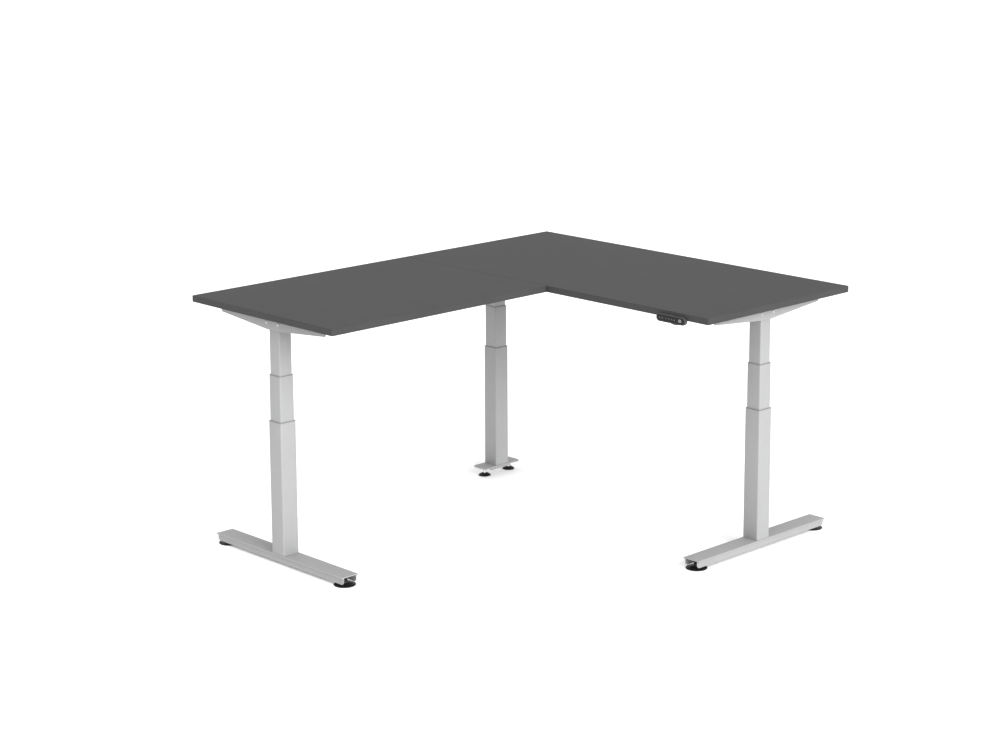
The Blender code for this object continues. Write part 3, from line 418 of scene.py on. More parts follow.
FINISHES = {
    "desktop_laminate": laminate(),
    "silver_paint": grainy("silver_paint", (0.307, 0.307, 0.309), 0.60, metallic=0.10, spread=0.03,
                           patch=0.09, grain=0.0011, depth=0.000025),
    "zinc_sheet": grainy("zinc_sheet", (0.42, 0.42, 0.415), 0.40, metallic=1.0, spread=0.05,
                         patch=0.012, grain=0.0006, depth=0.000004),
    "zinc_steel": grainy("zinc_steel", (0.82, 0.82, 0.81), 0.30, metallic=1.0, spread=0.04,
                         patch=0.012, grain=0.0006, depth=0.000004),
    "dull_zinc": grainy("dull_zinc", (0.62, 0.62, 0.615), 0.42, metallic=0.8, spread=0.05,
                        patch=0.012, grain=0.0006, depth=0.000004),
    "guide_plastic": grainy("guide_plastic", (0.20, 0.20, 0.202), 0.55, patch=0.03),
    "glide_plastic": grainy("glide_plastic", (0.007, 0.007, 0.0073), 0.50, spread=0.25, patch=0.012,
                            grain=0.0012, depth=0.00008, shine=0.3),
    "motor_casting": grainy("motor_casting", (0.33, 0.33, 0.34), 0.48, metallic=0.8, spread=0.10,
                            patch=0.02, grain=0.0015, depth=0.00008),
    "screw_steel": threaded("screw_steel", (0.42, 0.42, 0.43)),
    "handset_plastic": grainy("handset_plastic", (0.034, 0.034, 0.035), 0.45, spread=0.10,
                              patch=0.02, grain=0.0006, depth=0.00003),
    "handset_film": grainy("handset_film", (0.006, 0.006, 0.0065), 0.25, patch=0.03, depth=0.000005,
                           shine=0.25),
    "display_window": grainy("display_window", (0.20, 0.207, 0.213), 0.16, spread=0.04, patch=0.01,
                             depth=0.000005),
    "key_plastic": grainy("key_plastic", (0.018, 0.018, 0.019), 0.50, spread=0.10, patch=0.006,
                          grain=0.0005, depth=0.00003),
    "control_box_plastic": grainy("control_box_plastic", (0.024, 0.024, 0.025), 0.55, spread=0.12,
                                  patch=0.03, grain=0.0012, depth=0.00008),
    "circuit_board": printed_circuit(),
    "key_print": grainy("key_print", (0.26, 0.26, 0.26), 0.45, spread=0.02, patch=0.01),
}


# --- Shapes ---

def sharp_edges(shape, angle=SHARP_ANGLE):
    """Edges where two faces meet at more than an angle."""
    limit = math.radians(angle)
    return [edge for edge in shape.edges
            if len(edge.link_faces) == 2 and edge.calc_face_angle() > limit]


def soften(shape, edges, width, segments=2):
    """Round some edges."""
    bmesh.ops.bevel(shape, geom=edges, offset=width, segments=segments, profile=0.5,
                    affect="EDGES", material=-1, clamp_overlap=True)


def block(low, high, edge=0.0, segments=2):
    """A box between two corners, with its edges rounded."""
    shape = bmesh.new()
    low, high = Vector(low), Vector(high)
    matrix = Matrix.Translation((low + high) / 2) @ Matrix.Diagonal((*(high - low), 1.0))
    bmesh.ops.create_cube(shape, size=1.0, matrix=matrix)
    if edge:
        soften(shape, shape.edges[:], edge, segments)
    return shape


def push(shape, faces, travel):
    """Extrude some faces along a straight line."""
    made = bmesh.ops.extrude_face_region(shape, geom=faces)["geom"]
    verts = [item for item in made if isinstance(item, bmesh.types.BMVert)]
    bmesh.ops.translate(shape, verts=verts, vec=travel)
    return verts


def rounded_face(half_x, half_y, corner, height, steps=CORNER_STEPS):
    """A level rectangle with round corners, about the upright axis."""
    shape = bmesh.new()
    matrix = Matrix.Translation((0, 0, height)) @ Matrix.Diagonal((half_x, half_y, 1, 1))
    bmesh.ops.create_grid(shape, x_segments=1, y_segments=1, size=1.0, matrix=matrix)
    bmesh.ops.bevel(shape, geom=shape.verts[:], offset=corner, segments=steps, profile=0.5,
                    affect="VERTICES", material=-1)
    return shape


def rounded_plate(half_x, half_y, corner, low, high, edge=0.0):
    """A level plate with round corners, and its top and bottom edges softened."""
    shape = rounded_face(half_x, half_y, corner, low)
    push(shape, shape.faces[:], (0, 0, high - low))
    if edge:
        soften(shape, sharp_edges(shape, SQUARE_ANGLE), edge)
    return shape


def bored_plate(half_x, half_y, corner, low, high, bore):
    """A level plate with round corners and a round hole in its middle."""
    shape = rounded_face(half_x, half_y, corner, low)
    bmesh.ops.delete(shape, geom=shape.faces[:], context="FACES_ONLY")
    bmesh.ops.create_circle(shape, segments=ROUND_STEPS, radius=bore,
                            matrix=Matrix.Translation((0, 0, low)))
    bmesh.ops.triangle_fill(shape, edges=shape.edges[:], use_beauty=True)
    push(shape, shape.faces[:], (0, 0, high - low))
    return shape


def rounded_ring(half_x, half_y, corner, wall, low, high, edge=0.0):
    """An upright tube of rounded rectangular section, open at both ends."""
    shape = rounded_face(half_x, half_y, corner, low)
    inner = shape.faces[:]
    bmesh.ops.inset_region(shape, faces=inner, thickness=wall, use_even_offset=True,
                           use_boundary=True)
    bmesh.ops.delete(shape, geom=inner, context="FACES")
    push(shape, shape.faces[:], (0, 0, high - low))
    if edge:
        soften(shape, sharp_edges(shape, SQUARE_ANGLE), edge)
    return shape


def lathe(profile, steps=ROUND_STEPS, closed=False):
    """Turn a profile of (radius, height) about the upright axis."""
    shape = bmesh.new()
    points = [shape.verts.new((radius, 0, height)) for radius, height in profile]
    for start, end in zip(points, points[1:]):
        shape.edges.new((start, end))
    if closed:
        shape.edges.new((points[-1], points[0]))
    bmesh.ops.spin(shape, geom=shape.verts[:] + shape.edges[:], cent=(0, 0, 0), axis=(0, 0, 1),
                   angle=2 * math.pi, steps=steps, use_merge=True)
    bmesh.ops.remove_doubles(shape, verts=shape.verts, dist=SAME_PLACE)
    return shape


def arc(centre, radius, start, end, steps=6):
    """Points of (radius, height) along an arc, between two angles in degrees."""
    turns = [math.radians(start + (end - start) * step / steps) for step in range(steps + 1)]
    return [(centre[0] + radius * math.cos(turn), centre[1] + radius * math.sin(turn))
            for turn in turns]


def prism(radius, low, high, sides, edge=0.0):
    """An upright prism with its edges softened."""
    shape = bmesh.new()
    matrix = Matrix.Translation((0, 0, (low + high) / 2))
    bmesh.ops.create_cone(shape, cap_ends=True, segments=sides, radius1=radius, radius2=radius,
                          depth=high - low, matrix=matrix)
    if edge:
        soften(shape, sharp_edges(shape), edge)
    return shape


def stadium_face(length, height, y, steps=16):
    """A bar's outline with round ends, upright and facing -Y, about its centre."""
    shape = rounded_face(length / 2, height / 2, height / 2 - SAME_PLACE, 0, steps)
    bmesh.ops.remove_doubles(shape, verts=shape.verts, dist=4 * SAME_PLACE)
    return moved(shape, Matrix.Translation((0, y, 0)) @ FACING_FRONT)


def merged(shapes):
    """Several shapes as one."""
    whole = bmesh.new()
    for shape in shapes:
        bmesh.ops.recalc_face_normals(shape, faces=shape.faces)
        part = bpy.data.meshes.new("part")
        shape.to_mesh(part)
        shape.free()
        whole.from_mesh(part)
        bpy.data.meshes.remove(part)
    return whole


def moved(shape, matrix):
    """The same shape, carried by a matrix."""
    bmesh.ops.transform(shape, matrix=matrix, verts=shape.verts)
    return shape


def piece(name, shapes, finish, body, matrix=None, stands_for=()):
    """Make one visible piece from its shapes, in place, riding on a body."""
    whole = merged(shapes if isinstance(shapes, list) else [shapes])
    if matrix:
        moved(whole, matrix)
    mesh = bpy.data.meshes.new(name)
    whole.to_mesh(mesh)
    whole.free()
    mesh.shade_smooth()
    mesh.set_sharp_from_angle(angle=math.radians(SHARP_ANGLE))
    mesh.materials.append(FINISHES[finish])
    made = bpy.data.objects.new(name, mesh)
    bpy.context.scene.collection.objects.link(made)
    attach(made, body)
    if stands_for:
        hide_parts(*stands_for)
    return made


# --- Screws ---

def socket_head(radius, height, drive=6):
    """A screw head standing on the origin: domed, with a recess of six flats or a cross."""
    side = height * HEAD_SIDE
    dome = [(0.0, 0.0), (radius, 0.0), (radius, side)]
    dome += arc((radius - (height - side), side), height - side, 15, 90, 5)
    top = HEAD_CROWN * radius
    dome.append((top, height))
    shape = lathe(dome, SCREW_STEPS)
    rim = [edge for edge in shape.edges if len(edge.link_faces) == 1]
    cap = bmesh.ops.contextual_create(shape, geom=rim)["faces"]
    bmesh.ops.inset_region(shape, faces=cap, thickness=HEAD_BORDER * radius,
                           use_boundary=True)
    for vert in cap[0].verts:
        turn = math.atan2(vert.co.y, vert.co.x)
        if drive == 6:
            flat = math.pi / 3
            reach = SIX_DRIVE * top * math.cos(flat / 2) / math.cos((turn % flat) - flat / 2)
        else:
            quarter = (turn + math.pi / 4) % (math.pi / 2) - math.pi / 4
            reach = CROSS_DRIVE[0 if abs(quarter) < CROSS_ARM else 1] * top
        vert.co.x = reach * math.cos(turn)
        vert.co.y = reach * math.sin(turn)
    push(shape, cap, (0, 0, -DRIVE_DEPTH * height))
    bmesh.ops.delete(shape, geom=cap, context="FACES_ONLY")
    return shape


def aimed(place, direction):
    """Carries a screw from the origin, head up, to a place with its head towards a direction."""
    turn = Vector((0, 0, 1)).rotation_difference(Vector(direction)).to_matrix().to_4x4()
    return Matrix.Translation(place) @ turn


def wood_screw(place):
    """A cross-head screw driven up into wood, its head at a place."""
    return moved(socket_head(*WOOD_SCREW_HEAD, drive=4), aimed(place, DOWNWARDS))


def four_corners():
    """The signs of a pattern's four corners."""
    return [(a, b) for a in (-1, 1) for b in (-1, 1)]


# --- Columns ---

def make_columns():
    """Nested square tubes with their plastic guides, and the flange on each column's head."""
    for leg in LEG_TURNS:
        matrix = leg_matrix(leg)
        stages = (
            ("outer", "base", OUTER_HALF, BASE_PLATE, GAP),
            ("middle", leg + "_middle", MIDDLE_HALF, MIDDLE_PLATE, BASE_SCREW_RADIUS + GAP),
            ("inner", "desk_top", INNER_HALF, NUT_BLOCK, LIFT_SCREW_RADIUS + GAP),
        )
        for stage, body, half, plate, bore in stages:
            node = leg + "_" + stage + "_tube"
            low, high = box_of(node)
            top = high.z - HEAD_FLANGE if stage == "inner" else high.z
            inside = half - TUBE_WALL
            shapes = [
                rounded_ring(half, half, TUBE_CORNER, TUBE_WALL, low.z, top, TUBE_EDGE),
                bored_plate(inside, inside, TUBE_CORNER - TUBE_WALL, low.z + GAP,
                            low.z + plate, bore),
            ]
            if stage == "inner":
                long_half, short_half = head_halves(leg)
                shapes.append(bored_plate(long_half, short_half, HEAD_CORNER, top, high.z,
                                          shaft_radius(leg) + 2 * GAP))
            piece(node + "_shell", shapes, "silver_paint", body, matrix, (node,))
        make_collar(leg, "outer", "base", OUTER_HALF, MIDDLE_HALF, matrix)
        make_collar(leg, "middle", leg + "_middle", MIDDLE_HALF, INNER_HALF, matrix)


def shaft_radius(leg):
    """Radius of a column's drive shaft."""
    return across(leg + "_drive_shaft") / 2


def head_halves(leg):
    """Half sides of the flange on a column's head, along and across its bracket."""
    node = leg + "_inner_tube"
    return length_of(node) / 2, across(node) / 2


def make_collar(leg, stage, body, tube_half, slider_half, matrix):
    """A guide's thin lip on the tube's end, and its sleeve down inside."""
    node = leg + "_" + stage + "_collar"
    low, high = box_of(node)
    inside = slider_half + GAP
    sleeve = tube_half - TUBE_WALL - GAP
    shapes = [
        rounded_ring(tube_half, tube_half, TUBE_CORNER, tube_half - inside,
                     high.z - COLLAR_LIP, high.z, COLLAR_EDGE),
        rounded_ring(sleeve, sleeve, TUBE_CORNER - TUBE_WALL, sleeve - inside,
                     low.z, high.z - COLLAR_LIP),
    ]
    piece(node + "_guide", shapes, "guide_plastic", body, matrix, (node,))


# --- Brackets and rails ---

def fold_edges(shape, length):
    """The long edges along a channel's top, where its sheet folds down."""
    return [edge for edge in shape.edges
            if all(abs(vert.co.z - STEEL_TOP) < SAME_PLACE for vert in edge.verts)
            and edge.calc_length() > length / 2]


def bracket_shape(length, width, depth):
    """A folded channel along X whose sides taper from the column to both ends."""
    end, side = length / 2, width / 2
    drops = [(-end, 0), (-end + BRACKET_END_SLANT, BRACKET_END_DEPTH), (-BRACKET_FLAT / 2, depth),
             (BRACKET_FLAT / 2, depth), (end - BRACKET_END_SLANT, BRACKET_END_DEPTH), (end, 0)]
    shape = bmesh.new()
    face = shape.faces.new([shape.verts.new((x, -side, STEEL_TOP - drop)) for x, drop in drops])
    push(shape, [face], (0, width, 0))
    bmesh.ops.recalc_face_normals(shape, faces=shape.faces)
    folds = fold_edges(shape, length)
    cut_away = [face for face in shape.faces if abs(face.normal.y) < 0.5 and face.normal.z < 0.9]
    bmesh.ops.delete(shape, geom=cut_away, context="FACES")
    soften(shape, folds, BRACKET_BEND, BRACKET_BEND_STEPS)
    bmesh.ops.solidify(shape, geom=shape.faces[:], thickness=BRACKET_WALL)
    soften(shape, sharp_edges(shape, SQUARE_ANGLE), BRACKET_EDGE, 1)
    return shape


def make_brackets():
    """One bracket on each column, with the screws that hold it to its gearbox and to the board."""
    for leg in LEG_TURNS:
        node = leg + "_bracket"
        matrix = leg_matrix(leg)
        low, high = box_of(node)
        shape = bracket_shape(length_of(node), across(node), high.z - low.z)
        piece(node + "_channel", shape, "silver_paint", "desk_top", matrix, (node,))
        side = across(node) / 2
        screws = []
        for along, sign in four_corners():
            place = (along * BRACKET_SCREW_SPACING / 2, sign * side, UNDERSIDE - BRACKET_SCREW_DROP)
            screws.append(moved(socket_head(*BUTTON_HEAD), aimed(place, (0, sign, 0))))
        piece(node + "_side_screws", screws, "dull_zinc", "desk_top", matrix)
        screws = [wood_screw((sign * along, 0, STEEL_TOP - BRACKET_WALL))
                  for sign in (-1, 1) for along in BRACKET_BOARD_SCREWS]
        piece(node + "_board_screws", screws, "zinc_steel", "desk_top", matrix)
        bolts = []
        for rail, bolt in four_corners():
            place = (rail * RAIL_SPACING / 2 + bolt * RAIL_BOLT_SPACING / 2, side - BRACKET_WALL,
                     UNDERSIDE - RAIL_BOLT_DROP)
            bolts.append(moved(socket_head(*BOLT_HEAD), aimed(place, (0, -1, 0))))
        piece(node + "_rail_bolts", bolts, "zinc_steel", "desk_top", matrix)


def rail_shape(length, width, height):
    """A rail along X from the origin: a folded channel open below, with a plate across each end."""
    half = width / 2
    shape = block((0, -half, STEEL_TOP - height), (length, half, STEEL_TOP))
    bottom = min(shape.faces, key=lambda face: face.calc_center_median().z)
    bmesh.ops.inset_region(shape, faces=[bottom], thickness=RAIL_WALL)
    for vert in bottom.verts:
        vert.co.x = RAIL_END_PLATE if vert.co.x < length / 2 else length - RAIL_END_PLATE
    push(shape, [bottom], (0, 0, height - RAIL_WALL))
    bmesh.ops.delete(shape, geom=[bottom], context="FACES_ONLY")
    soften(shape, fold_edges(shape, length), RAIL_BEND, RAIL_BEND_STEPS)
    soften(shape, sharp_edges(shape, SQUARE_ANGLE), RAIL_EDGE, 1)
    return shape


def make_rails():
    """The four rails that join the brackets."""
    for node in ("main_front_rail", "main_rear_rail", "return_outer_rail", "return_inner_rail"):
        low, high = box_of(node)
        centre = centre_of(node)
        if high.x - low.x > high.y - low.y:
            matrix = Matrix.Translation((low.x, centre.y, 0))
        else:
            matrix = Matrix.Translation((centre.x, low.y, 0)) @ Matrix.Rotation(math.pi / 2, 4, "Z")
        shape = rail_shape(length_of(node), across(node), high.z - low.z)
        piece(node + "_channel", shape, "silver_paint", "desk_top", matrix, (node,))


def make_joining_plates():
    """Plates under the seam with two rows of wood screws."""
    for node in ("outer_joining_plate", "middle_joining_plate", "inner_joining_plate"):
        low, high = box_of(node)
        centre = centre_of(node)
        half = (high - low) / 2
        shape = rounded_plate(half.x, half.y, JOINING_CORNER, low.z, high.z, JOINING_EDGE)
        level = Matrix.Translation((centre.x, centre.y, 0))
        piece(node + "_steel", shape, "zinc_sheet", "desk_top", level, (node,))
        beside, along = JOINING_SCREW_PLACES
        screws = [wood_screw((centre.x + side * beside, centre.y + end * along, low.z))
                  for side, end in four_corners()]
        piece(node + "_screws", screws, "zinc_steel", "desk_top")


# --- Motors ---

def motor_can():
    """An upright motor: its can, a narrower end cap, and the bearing's seat in the cap."""
    end = MOTOR_LENGTH - MOTOR_BEARING_LENGTH
    cap = MOTOR_RADIUS - MOTOR_CAP_STEP
    return lathe([(0, 0), (MOTOR_RADIUS - MOTOR_CHAMFER, 0), (MOTOR_RADIUS, MOTOR_CHAMFER),
                  (MOTOR_RADIUS, end - MOTOR_CAP), (cap, end - MOTOR_CAP + MOTOR_CAP_SLOPE),
                  (cap, end - MOTOR_CHAMFER), (MOTOR_RADIUS - MOTOR_CAP_END, end),
                  (MOTOR_BEARING[0], end), (MOTOR_BEARING[1], MOTOR_LENGTH), (0, MOTOR_LENGTH)])


def make_motors():
    """A cast gearbox in each column's head, with its motor lying beside it."""
    for leg in LEG_TURNS:
        node = leg + "_motor"
        matrix = leg_matrix(leg)
        low, high = box_of(node)
        long_half, short_half = head_halves(leg)
        bore_high = box_of(leg + "_drive_shaft")[1].z + GAP
        body = bored_plate(long_half, short_half, GEARBOX_ROUND, low.z, bore_high,
                           shaft_radius(leg) + GAP)
        lid = rounded_plate(long_half, short_half, GEARBOX_ROUND, bore_high, high.z,
                            GEARBOX_EDGE)
        piece(node + "_gearbox", [body, lid], "motor_casting", "desk_top", matrix, (node,))
        middle = centre_of(node).z
        lie = Matrix.Translation((long_half, 0, middle)) @ Matrix.Rotation(math.pi / 2, 4, "Y")
        piece(node + "_can", moved(motor_can(), lie), "zinc_sheet", "desk_top", matrix)


# --- Feet ---

def foot_shape(length, width, top, low):
    """A foot bar along X: a plate with rounded lips, on two webs that end in round corners."""
    half = width / 2
    web_out = half - FOOT_OVERHANG
    web_in = web_out - FOOT_WEB
    right = [(half, top), (half, top - FOOT_LIP), (web_out, top - FOOT_LIP), (web_out, low),
             (web_in, low), (web_in, top - FOOT_PLATE)]
    section = right + [(-side, height) for side, height in reversed(right)]
    shape = bmesh.new()
    points = [shape.verts.new((-length / 2, side, height)) for side, height in section]
    push(shape, [shape.faces.new(points)], (length, 0, 0))
    bmesh.ops.recalc_face_normals(shape, faces=shape.faces)
    ends = [edge for edge in shape.edges
            if all(abs(vert.co.z - low) < SAME_PLACE for vert in edge.verts)
            and edge.calc_length() < length / 2]
    soften(shape, ends, FOOT_WEB_ROUND, FOOT_WEB_STEPS)
    lips = [edge for edge in shape.edges
            if all(abs(abs(vert.co.y) - half) < SAME_PLACE for vert in edge.verts)
            and edge.calc_length() > length / 2]
    soften(shape, lips, FOOT_LIP_ROUND, FOOT_LIP_STEPS)
    soften(shape, sharp_edges(shape, SQUARE_ANGLE), FOOT_EDGE_ROUND, 1)
    return shape


def boss_shape(drop, low):
    """A threaded boss below a foot's plate."""
    bore = GLIDE_STUD_RADIUS + GAP
    return lathe([(bore, low), (BOSS_RADIUS - BOSS_CHAMFER, low),
                  (BOSS_RADIUS, low + BOSS_CHAMFER), (BOSS_RADIUS, low + drop),
                  (bore, low + drop)], closed=True)


def make_feet():
    """Two T-shaped feet and the short corner foot, with their bolts and bosses."""
    for leg in ("left", "right"):
        node = leg + "_foot"
        matrix = leg_matrix(leg)
        low, high = box_of(node)
        bar = foot_shape(length_of(node), across(node), high.z, low.z)
        piece(node + "_bar", bar, "silver_paint", "base", matrix, (node,))
        make_foot_fixings(leg, matrix, high.z - FOOT_PLATE, DISC_BOSS)
    node = "corner_foot"
    matrix = leg_matrix("corner")
    low, high = box_of(node)
    under = high.z - CORNER_PLATE
    plate = rounded_plate(length_of(node) / 2, across(node) / 2, CORNER_PLATE_ROUND, under,
                          high.z, CORNER_PLATE_EDGE)
    channel = rounded_ring(CHANNEL_LENGTH / 2, CHANNEL_WIDTH / 2, CHANNEL_CORNER, CHANNEL_WALL,
                           low.z, under, CHANNEL_EDGE)
    piece(node + "_plate", [plate, channel], "silver_paint", "base", matrix, (node,))
    make_foot_fixings("corner", matrix, under, CONE_BOSS)


def make_foot_fixings(leg, matrix, under, drop):
    """The bolts up into the column and the bosses for the glides."""
    bolts = []
    for along, side in four_corners():
        place = (along * FOOT_BOLT_PLACES[0], side * FOOT_BOLT_PLACES[1], under)
        bolts.append(moved(socket_head(*BOLT_HEAD), aimed(place, DOWNWARDS)))
    piece(leg + "_foot_bolts", bolts, "zinc_steel", "base", matrix)
    back = matrix.inverted()
    bosses = []
    for node in GLIDE_NODES[leg]:
        local = back @ centre_of(node)
        shift = Matrix.Translation((local.x, local.y, 0))
        bosses.append(moved(boss_shape(drop, under - drop), shift))
    piece(leg + "_foot_bosses", bosses, "silver_paint", "base", matrix)


# --- Glides ---

def sole_profile(radius, flat, rim):
    """A pad's flat sole and its rounded rim."""
    return [(0, 0), (flat, 0)] + arc((radius - rim, rim), rim, -60, 60, 4)


def disc_profile(nut_low):
    """The wide pad: a rounded rim, a shallow ring, and a hub that rises to the nut."""
    top = nut_low - GAP
    return sole_profile(DISC_RADIUS, DISC_FLAT, DISC_RIM) + [
        *DISC_SLOPE, (DISC_HUB, nut_low - DISC_HUB_CHAMFER), (DISC_HUB_TOP, top), (0, top)]


def cone_profile():
    """The small pad: a low dome round the stud."""
    bore = GLIDE_STUD_RADIUS + GAP
    return sole_profile(CONE_RADIUS, CONE_FLAT, CONE_RIM) + [
        *CONE_SLOPE, *arc(CONE_CROWN, CONE_CROWN_ROUND, 60, 90, 3),
        (bore, CONE_HIGH), (bore, CONE_SOCKET), (0, CONE_SOCKET)]


def stud_shape(low, high):
    """A threaded stud, as stacked ridges."""
    crest, root = GLIDE_STUD_RADIUS, GLIDE_STUD_RADIUS - THREAD_DEPTH
    profile = [(0, low)]
    for turn in range(int((high - low) / THREAD_PITCH)):
        profile += [(root, low + turn * THREAD_PITCH), (crest, low + (turn + 0.5) * THREAD_PITCH)]
    profile += [(root, high - GAP), (0, high - GAP)]
    return lathe(profile, STUD_STEPS)


def make_glides():
    """Each glide's pad, its hexagon nut and its threaded stud."""
    for leg, nodes in GLIDE_NODES.items():
        plate, boss = (CORNER_PLATE, CONE_BOSS) if leg == "corner" else (FOOT_PLATE, DISC_BOSS)
        under = box_of(leg + "_foot")[1].z - plate
        nut_high = under - boss - GAP
        nut_low = nut_high - GLIDE_NUT
        profile = cone_profile() if leg == "corner" else disc_profile(nut_low)
        finish = "zinc_steel" if leg == "corner" else "glide_plastic"
        for node in nodes:
            centre = centre_of(node)
            matrix = Matrix.Translation((centre.x, centre.y, 0))
            piece(node + "_pad", lathe(profile, DISC_STEPS), "glide_plastic", node, matrix, (node,))
            nut = prism(GLIDE_NUT_RADIUS, nut_low, nut_high, 6, GLIDE_NUT_EDGE)
            piece(node + "_nut", nut, finish, node, matrix)
            stud = [stud_shape(nut_high + GAP, under - GAP)]
            if leg == "corner":
                stud.append(stud_shape(CONE_SOCKET + GAP, nut_low - GAP))
            piece(node + "_stud", stud, "zinc_steel", node, matrix)


# --- Handset ---

def handset_case_shape(length, height, depth):
    """A bar with round ends and softened edges, hollowed at the front for its panel."""
    shape = stadium_face(length, height, 0)
    push(shape, shape.faces[:], (0, depth, 0))
    soften(shape, sharp_edges(shape, SQUARE_ANGLE), HANDSET_ROUND, 4)
    front = min(shape.faces, key=lambda face: face.calc_center_median().y)
    bmesh.ops.inset_region(shape, faces=[front], thickness=HANDSET_RIM - HANDSET_ROUND)
    push(shape, [front], (0, HANDSET_POCKET, 0))
    bmesh.ops.delete(shape, geom=[front], context="FACES_ONLY")
    return shape


def panel_shape(length, height):
    """The front panel with round holes for its keys and a window for the display."""
    shape = stadium_face(length, height, PANEL_SETBACK)
    bmesh.ops.delete(shape, geom=shape.faces[:], context="FACES_ONLY")
    middle = centre_of("handset_case").x
    for node in KEY_NODES:
        low, high = box_of(node)
        place = ((low.x + high.x) / 2 - middle, PANEL_SETBACK, 0)
        bmesh.ops.create_circle(shape, segments=ROUND_STEPS, radius=KEY_FACE_RADIUS + GAP,
                                matrix=Matrix.Translation(place) @ FACING_FRONT)
    low, high = box_of("handset_display")
    window = rounded_face((high.x - low.x) / 2 + GAP, (high.z - low.z) / 2 + GAP,
                          GLASS_CORNER, 0, 4)
    stand = Matrix.Translation(((low.x + high.x) / 2 - middle, PANEL_SETBACK, 0))
    moved(window, stand @ FACING_FRONT)
    bmesh.ops.delete(window, geom=window.faces[:], context="FACES_ONLY")
    outline = bpy.data.meshes.new("window")
    window.to_mesh(outline)
    window.free()
    shape.from_mesh(outline)
    bpy.data.meshes.remove(outline)
    bmesh.ops.triangle_fill(shape, edges=shape.edges[:], use_beauty=True, use_dissolve=False)
    push(shape, shape.faces[:], (0, PANEL_THICKNESS, 0))
    return shape


def key_shape(node):
    """A round key with a dished face and a flange behind the panel."""
    low, high = box_of(node)
    depth = high.y - low.y
    radius, flange = KEY_FACE_RADIUS, KEY_FACE_RADIUS + KEY_FLANGE_REACH
    return lathe([(0, -KEY_DISH[0]), (radius / 2, -KEY_DISH[1]), (radius - KEY_RIM, 0),
                  *arc((radius - KEY_ROUND, -KEY_ROUND), KEY_ROUND, 90, 0, 4),
                  (radius, KEY_FLANGE - depth), (flange, KEY_FLANGE - depth),
                  (flange, -depth), (0, -depth)])


def arrow_shape(up):
    """A printed arrow head, thin as paint."""
    shape = bmesh.new()
    bmesh.ops.create_cone(shape, cap_ends=True, segments=3, radius1=ARROW_RADIUS,
                          radius2=ARROW_RADIUS, depth=PRINT_THICKNESS)
    turn = Matrix.Rotation(math.radians(0 if up else 180), 4, "Z")
    return moved(shape, turn)


def numeral(text):
    """A printed numeral, thin as paint."""
    curve = bpy.data.curves.new("numeral", "FONT")
    curve.body = text
    curve.size = NUMERAL_SIZE
    curve.extrude = PRINT_THICKNESS / 2
    curve.align_x = "CENTER"
    curve.align_y = "CENTER"
    holder = bpy.data.objects.new("numeral", curve)
    bpy.context.scene.collection.objects.link(holder)
    graph = bpy.context.evaluated_depsgraph_get()
    mesh = bpy.data.meshes.new_from_object(holder.evaluated_get(graph))
    bpy.data.objects.remove(holder, do_unlink=True)
    shape = bmesh.new()
    shape.from_mesh(mesh)
    bpy.data.meshes.remove(mesh)
    bmesh.ops.remove_doubles(shape, verts=shape.verts, dist=SAME_PLACE)
    return shape


def ring_print():
    """A printed ring, thin as paint."""
    inner, outer = RING_RADII
    return lathe([(inner, 0), (outer, 0), (outer, PRINT_THICKNESS), (inner, PRINT_THICKNESS)],
                 closed=True)


def make_keys():
    """The six keys, each with its printed sign."""
    prints = {
        "up_key": arrow_shape(True), "down_key": arrow_shape(False),
        "memory_key_1": numeral("1"), "memory_key_2": numeral("2"), "memory_key_3": numeral("3"),
        "set_key": ring_print(),
    }
    for node in KEY_NODES:
        front = (centre_of(node).x, box_of(node)[0].y, HANDSET_MIDDLE)
        place = Matrix.Translation(front) @ FACING_FRONT
        piece(node + "_cap", key_shape(node), "key_plastic", node, place, (node,))
        sink = Matrix.Translation((0, 0, -PRINT_THICKNESS))
        piece(node + "_sign", prints[node], "key_print", node, place @ sink)


def make_handset():
    """The handset under the main board's front edge."""
    low, high = box_of("handset_case")
    panel_low, panel_high = box_of("handset_panel")
    middle = centre_of("handset_case").x
    centre = Matrix.Translation((middle, low.y, HANDSET_MIDDLE))
    height = 2 * (HANDSET_MIDDLE - low.z)
    front_depth = BOARD_LOW.y - GAP - low.y
    length = high.x - low.x
    bar = handset_case_shape(length, height, front_depth)
    top = STEEL_TOP - HANDSET_MIDDLE
    tongue = block((-TONGUE_LENGTH / 2, front_depth - TONGUE_OVERLAP, top - TONGUE_THICKNESS),
                   (TONGUE_LENGTH / 2, high.y - low.y, top), TONGUE_EDGE)
    swelling = bmesh.new()
    spot = Matrix.Translation((SWELLING_PLACE - length / 2, front_depth / 2, -height / 2))
    bmesh.ops.create_uvsphere(swelling, u_segments=ROUND_STEPS, v_segments=ROUND_STEPS // 2,
                              radius=1.0, matrix=spot @ Matrix.Diagonal((*SWELLING_SIZE, 1)))
    piece("handset_shell", [bar, tongue, swelling], "handset_plastic", "desk_top", centre,
          ("handset_case",))
    panel = panel_shape(panel_high.x - panel_low.x, panel_high.z - panel_low.z)
    piece("handset_front", panel, "handset_film", "desk_top", centre, ("handset_panel",))
    make_display()
    beside, behind = HANDSET_SCREW_PLACES
    screws = [wood_screw((middle + sign * beside, BOARD_LOW.y + behind,
                          STEEL_TOP - TONGUE_THICKNESS)) for sign in (-1, 1)]
    piece("handset_screws", screws, "zinc_steel", "desk_top")
    make_keys()


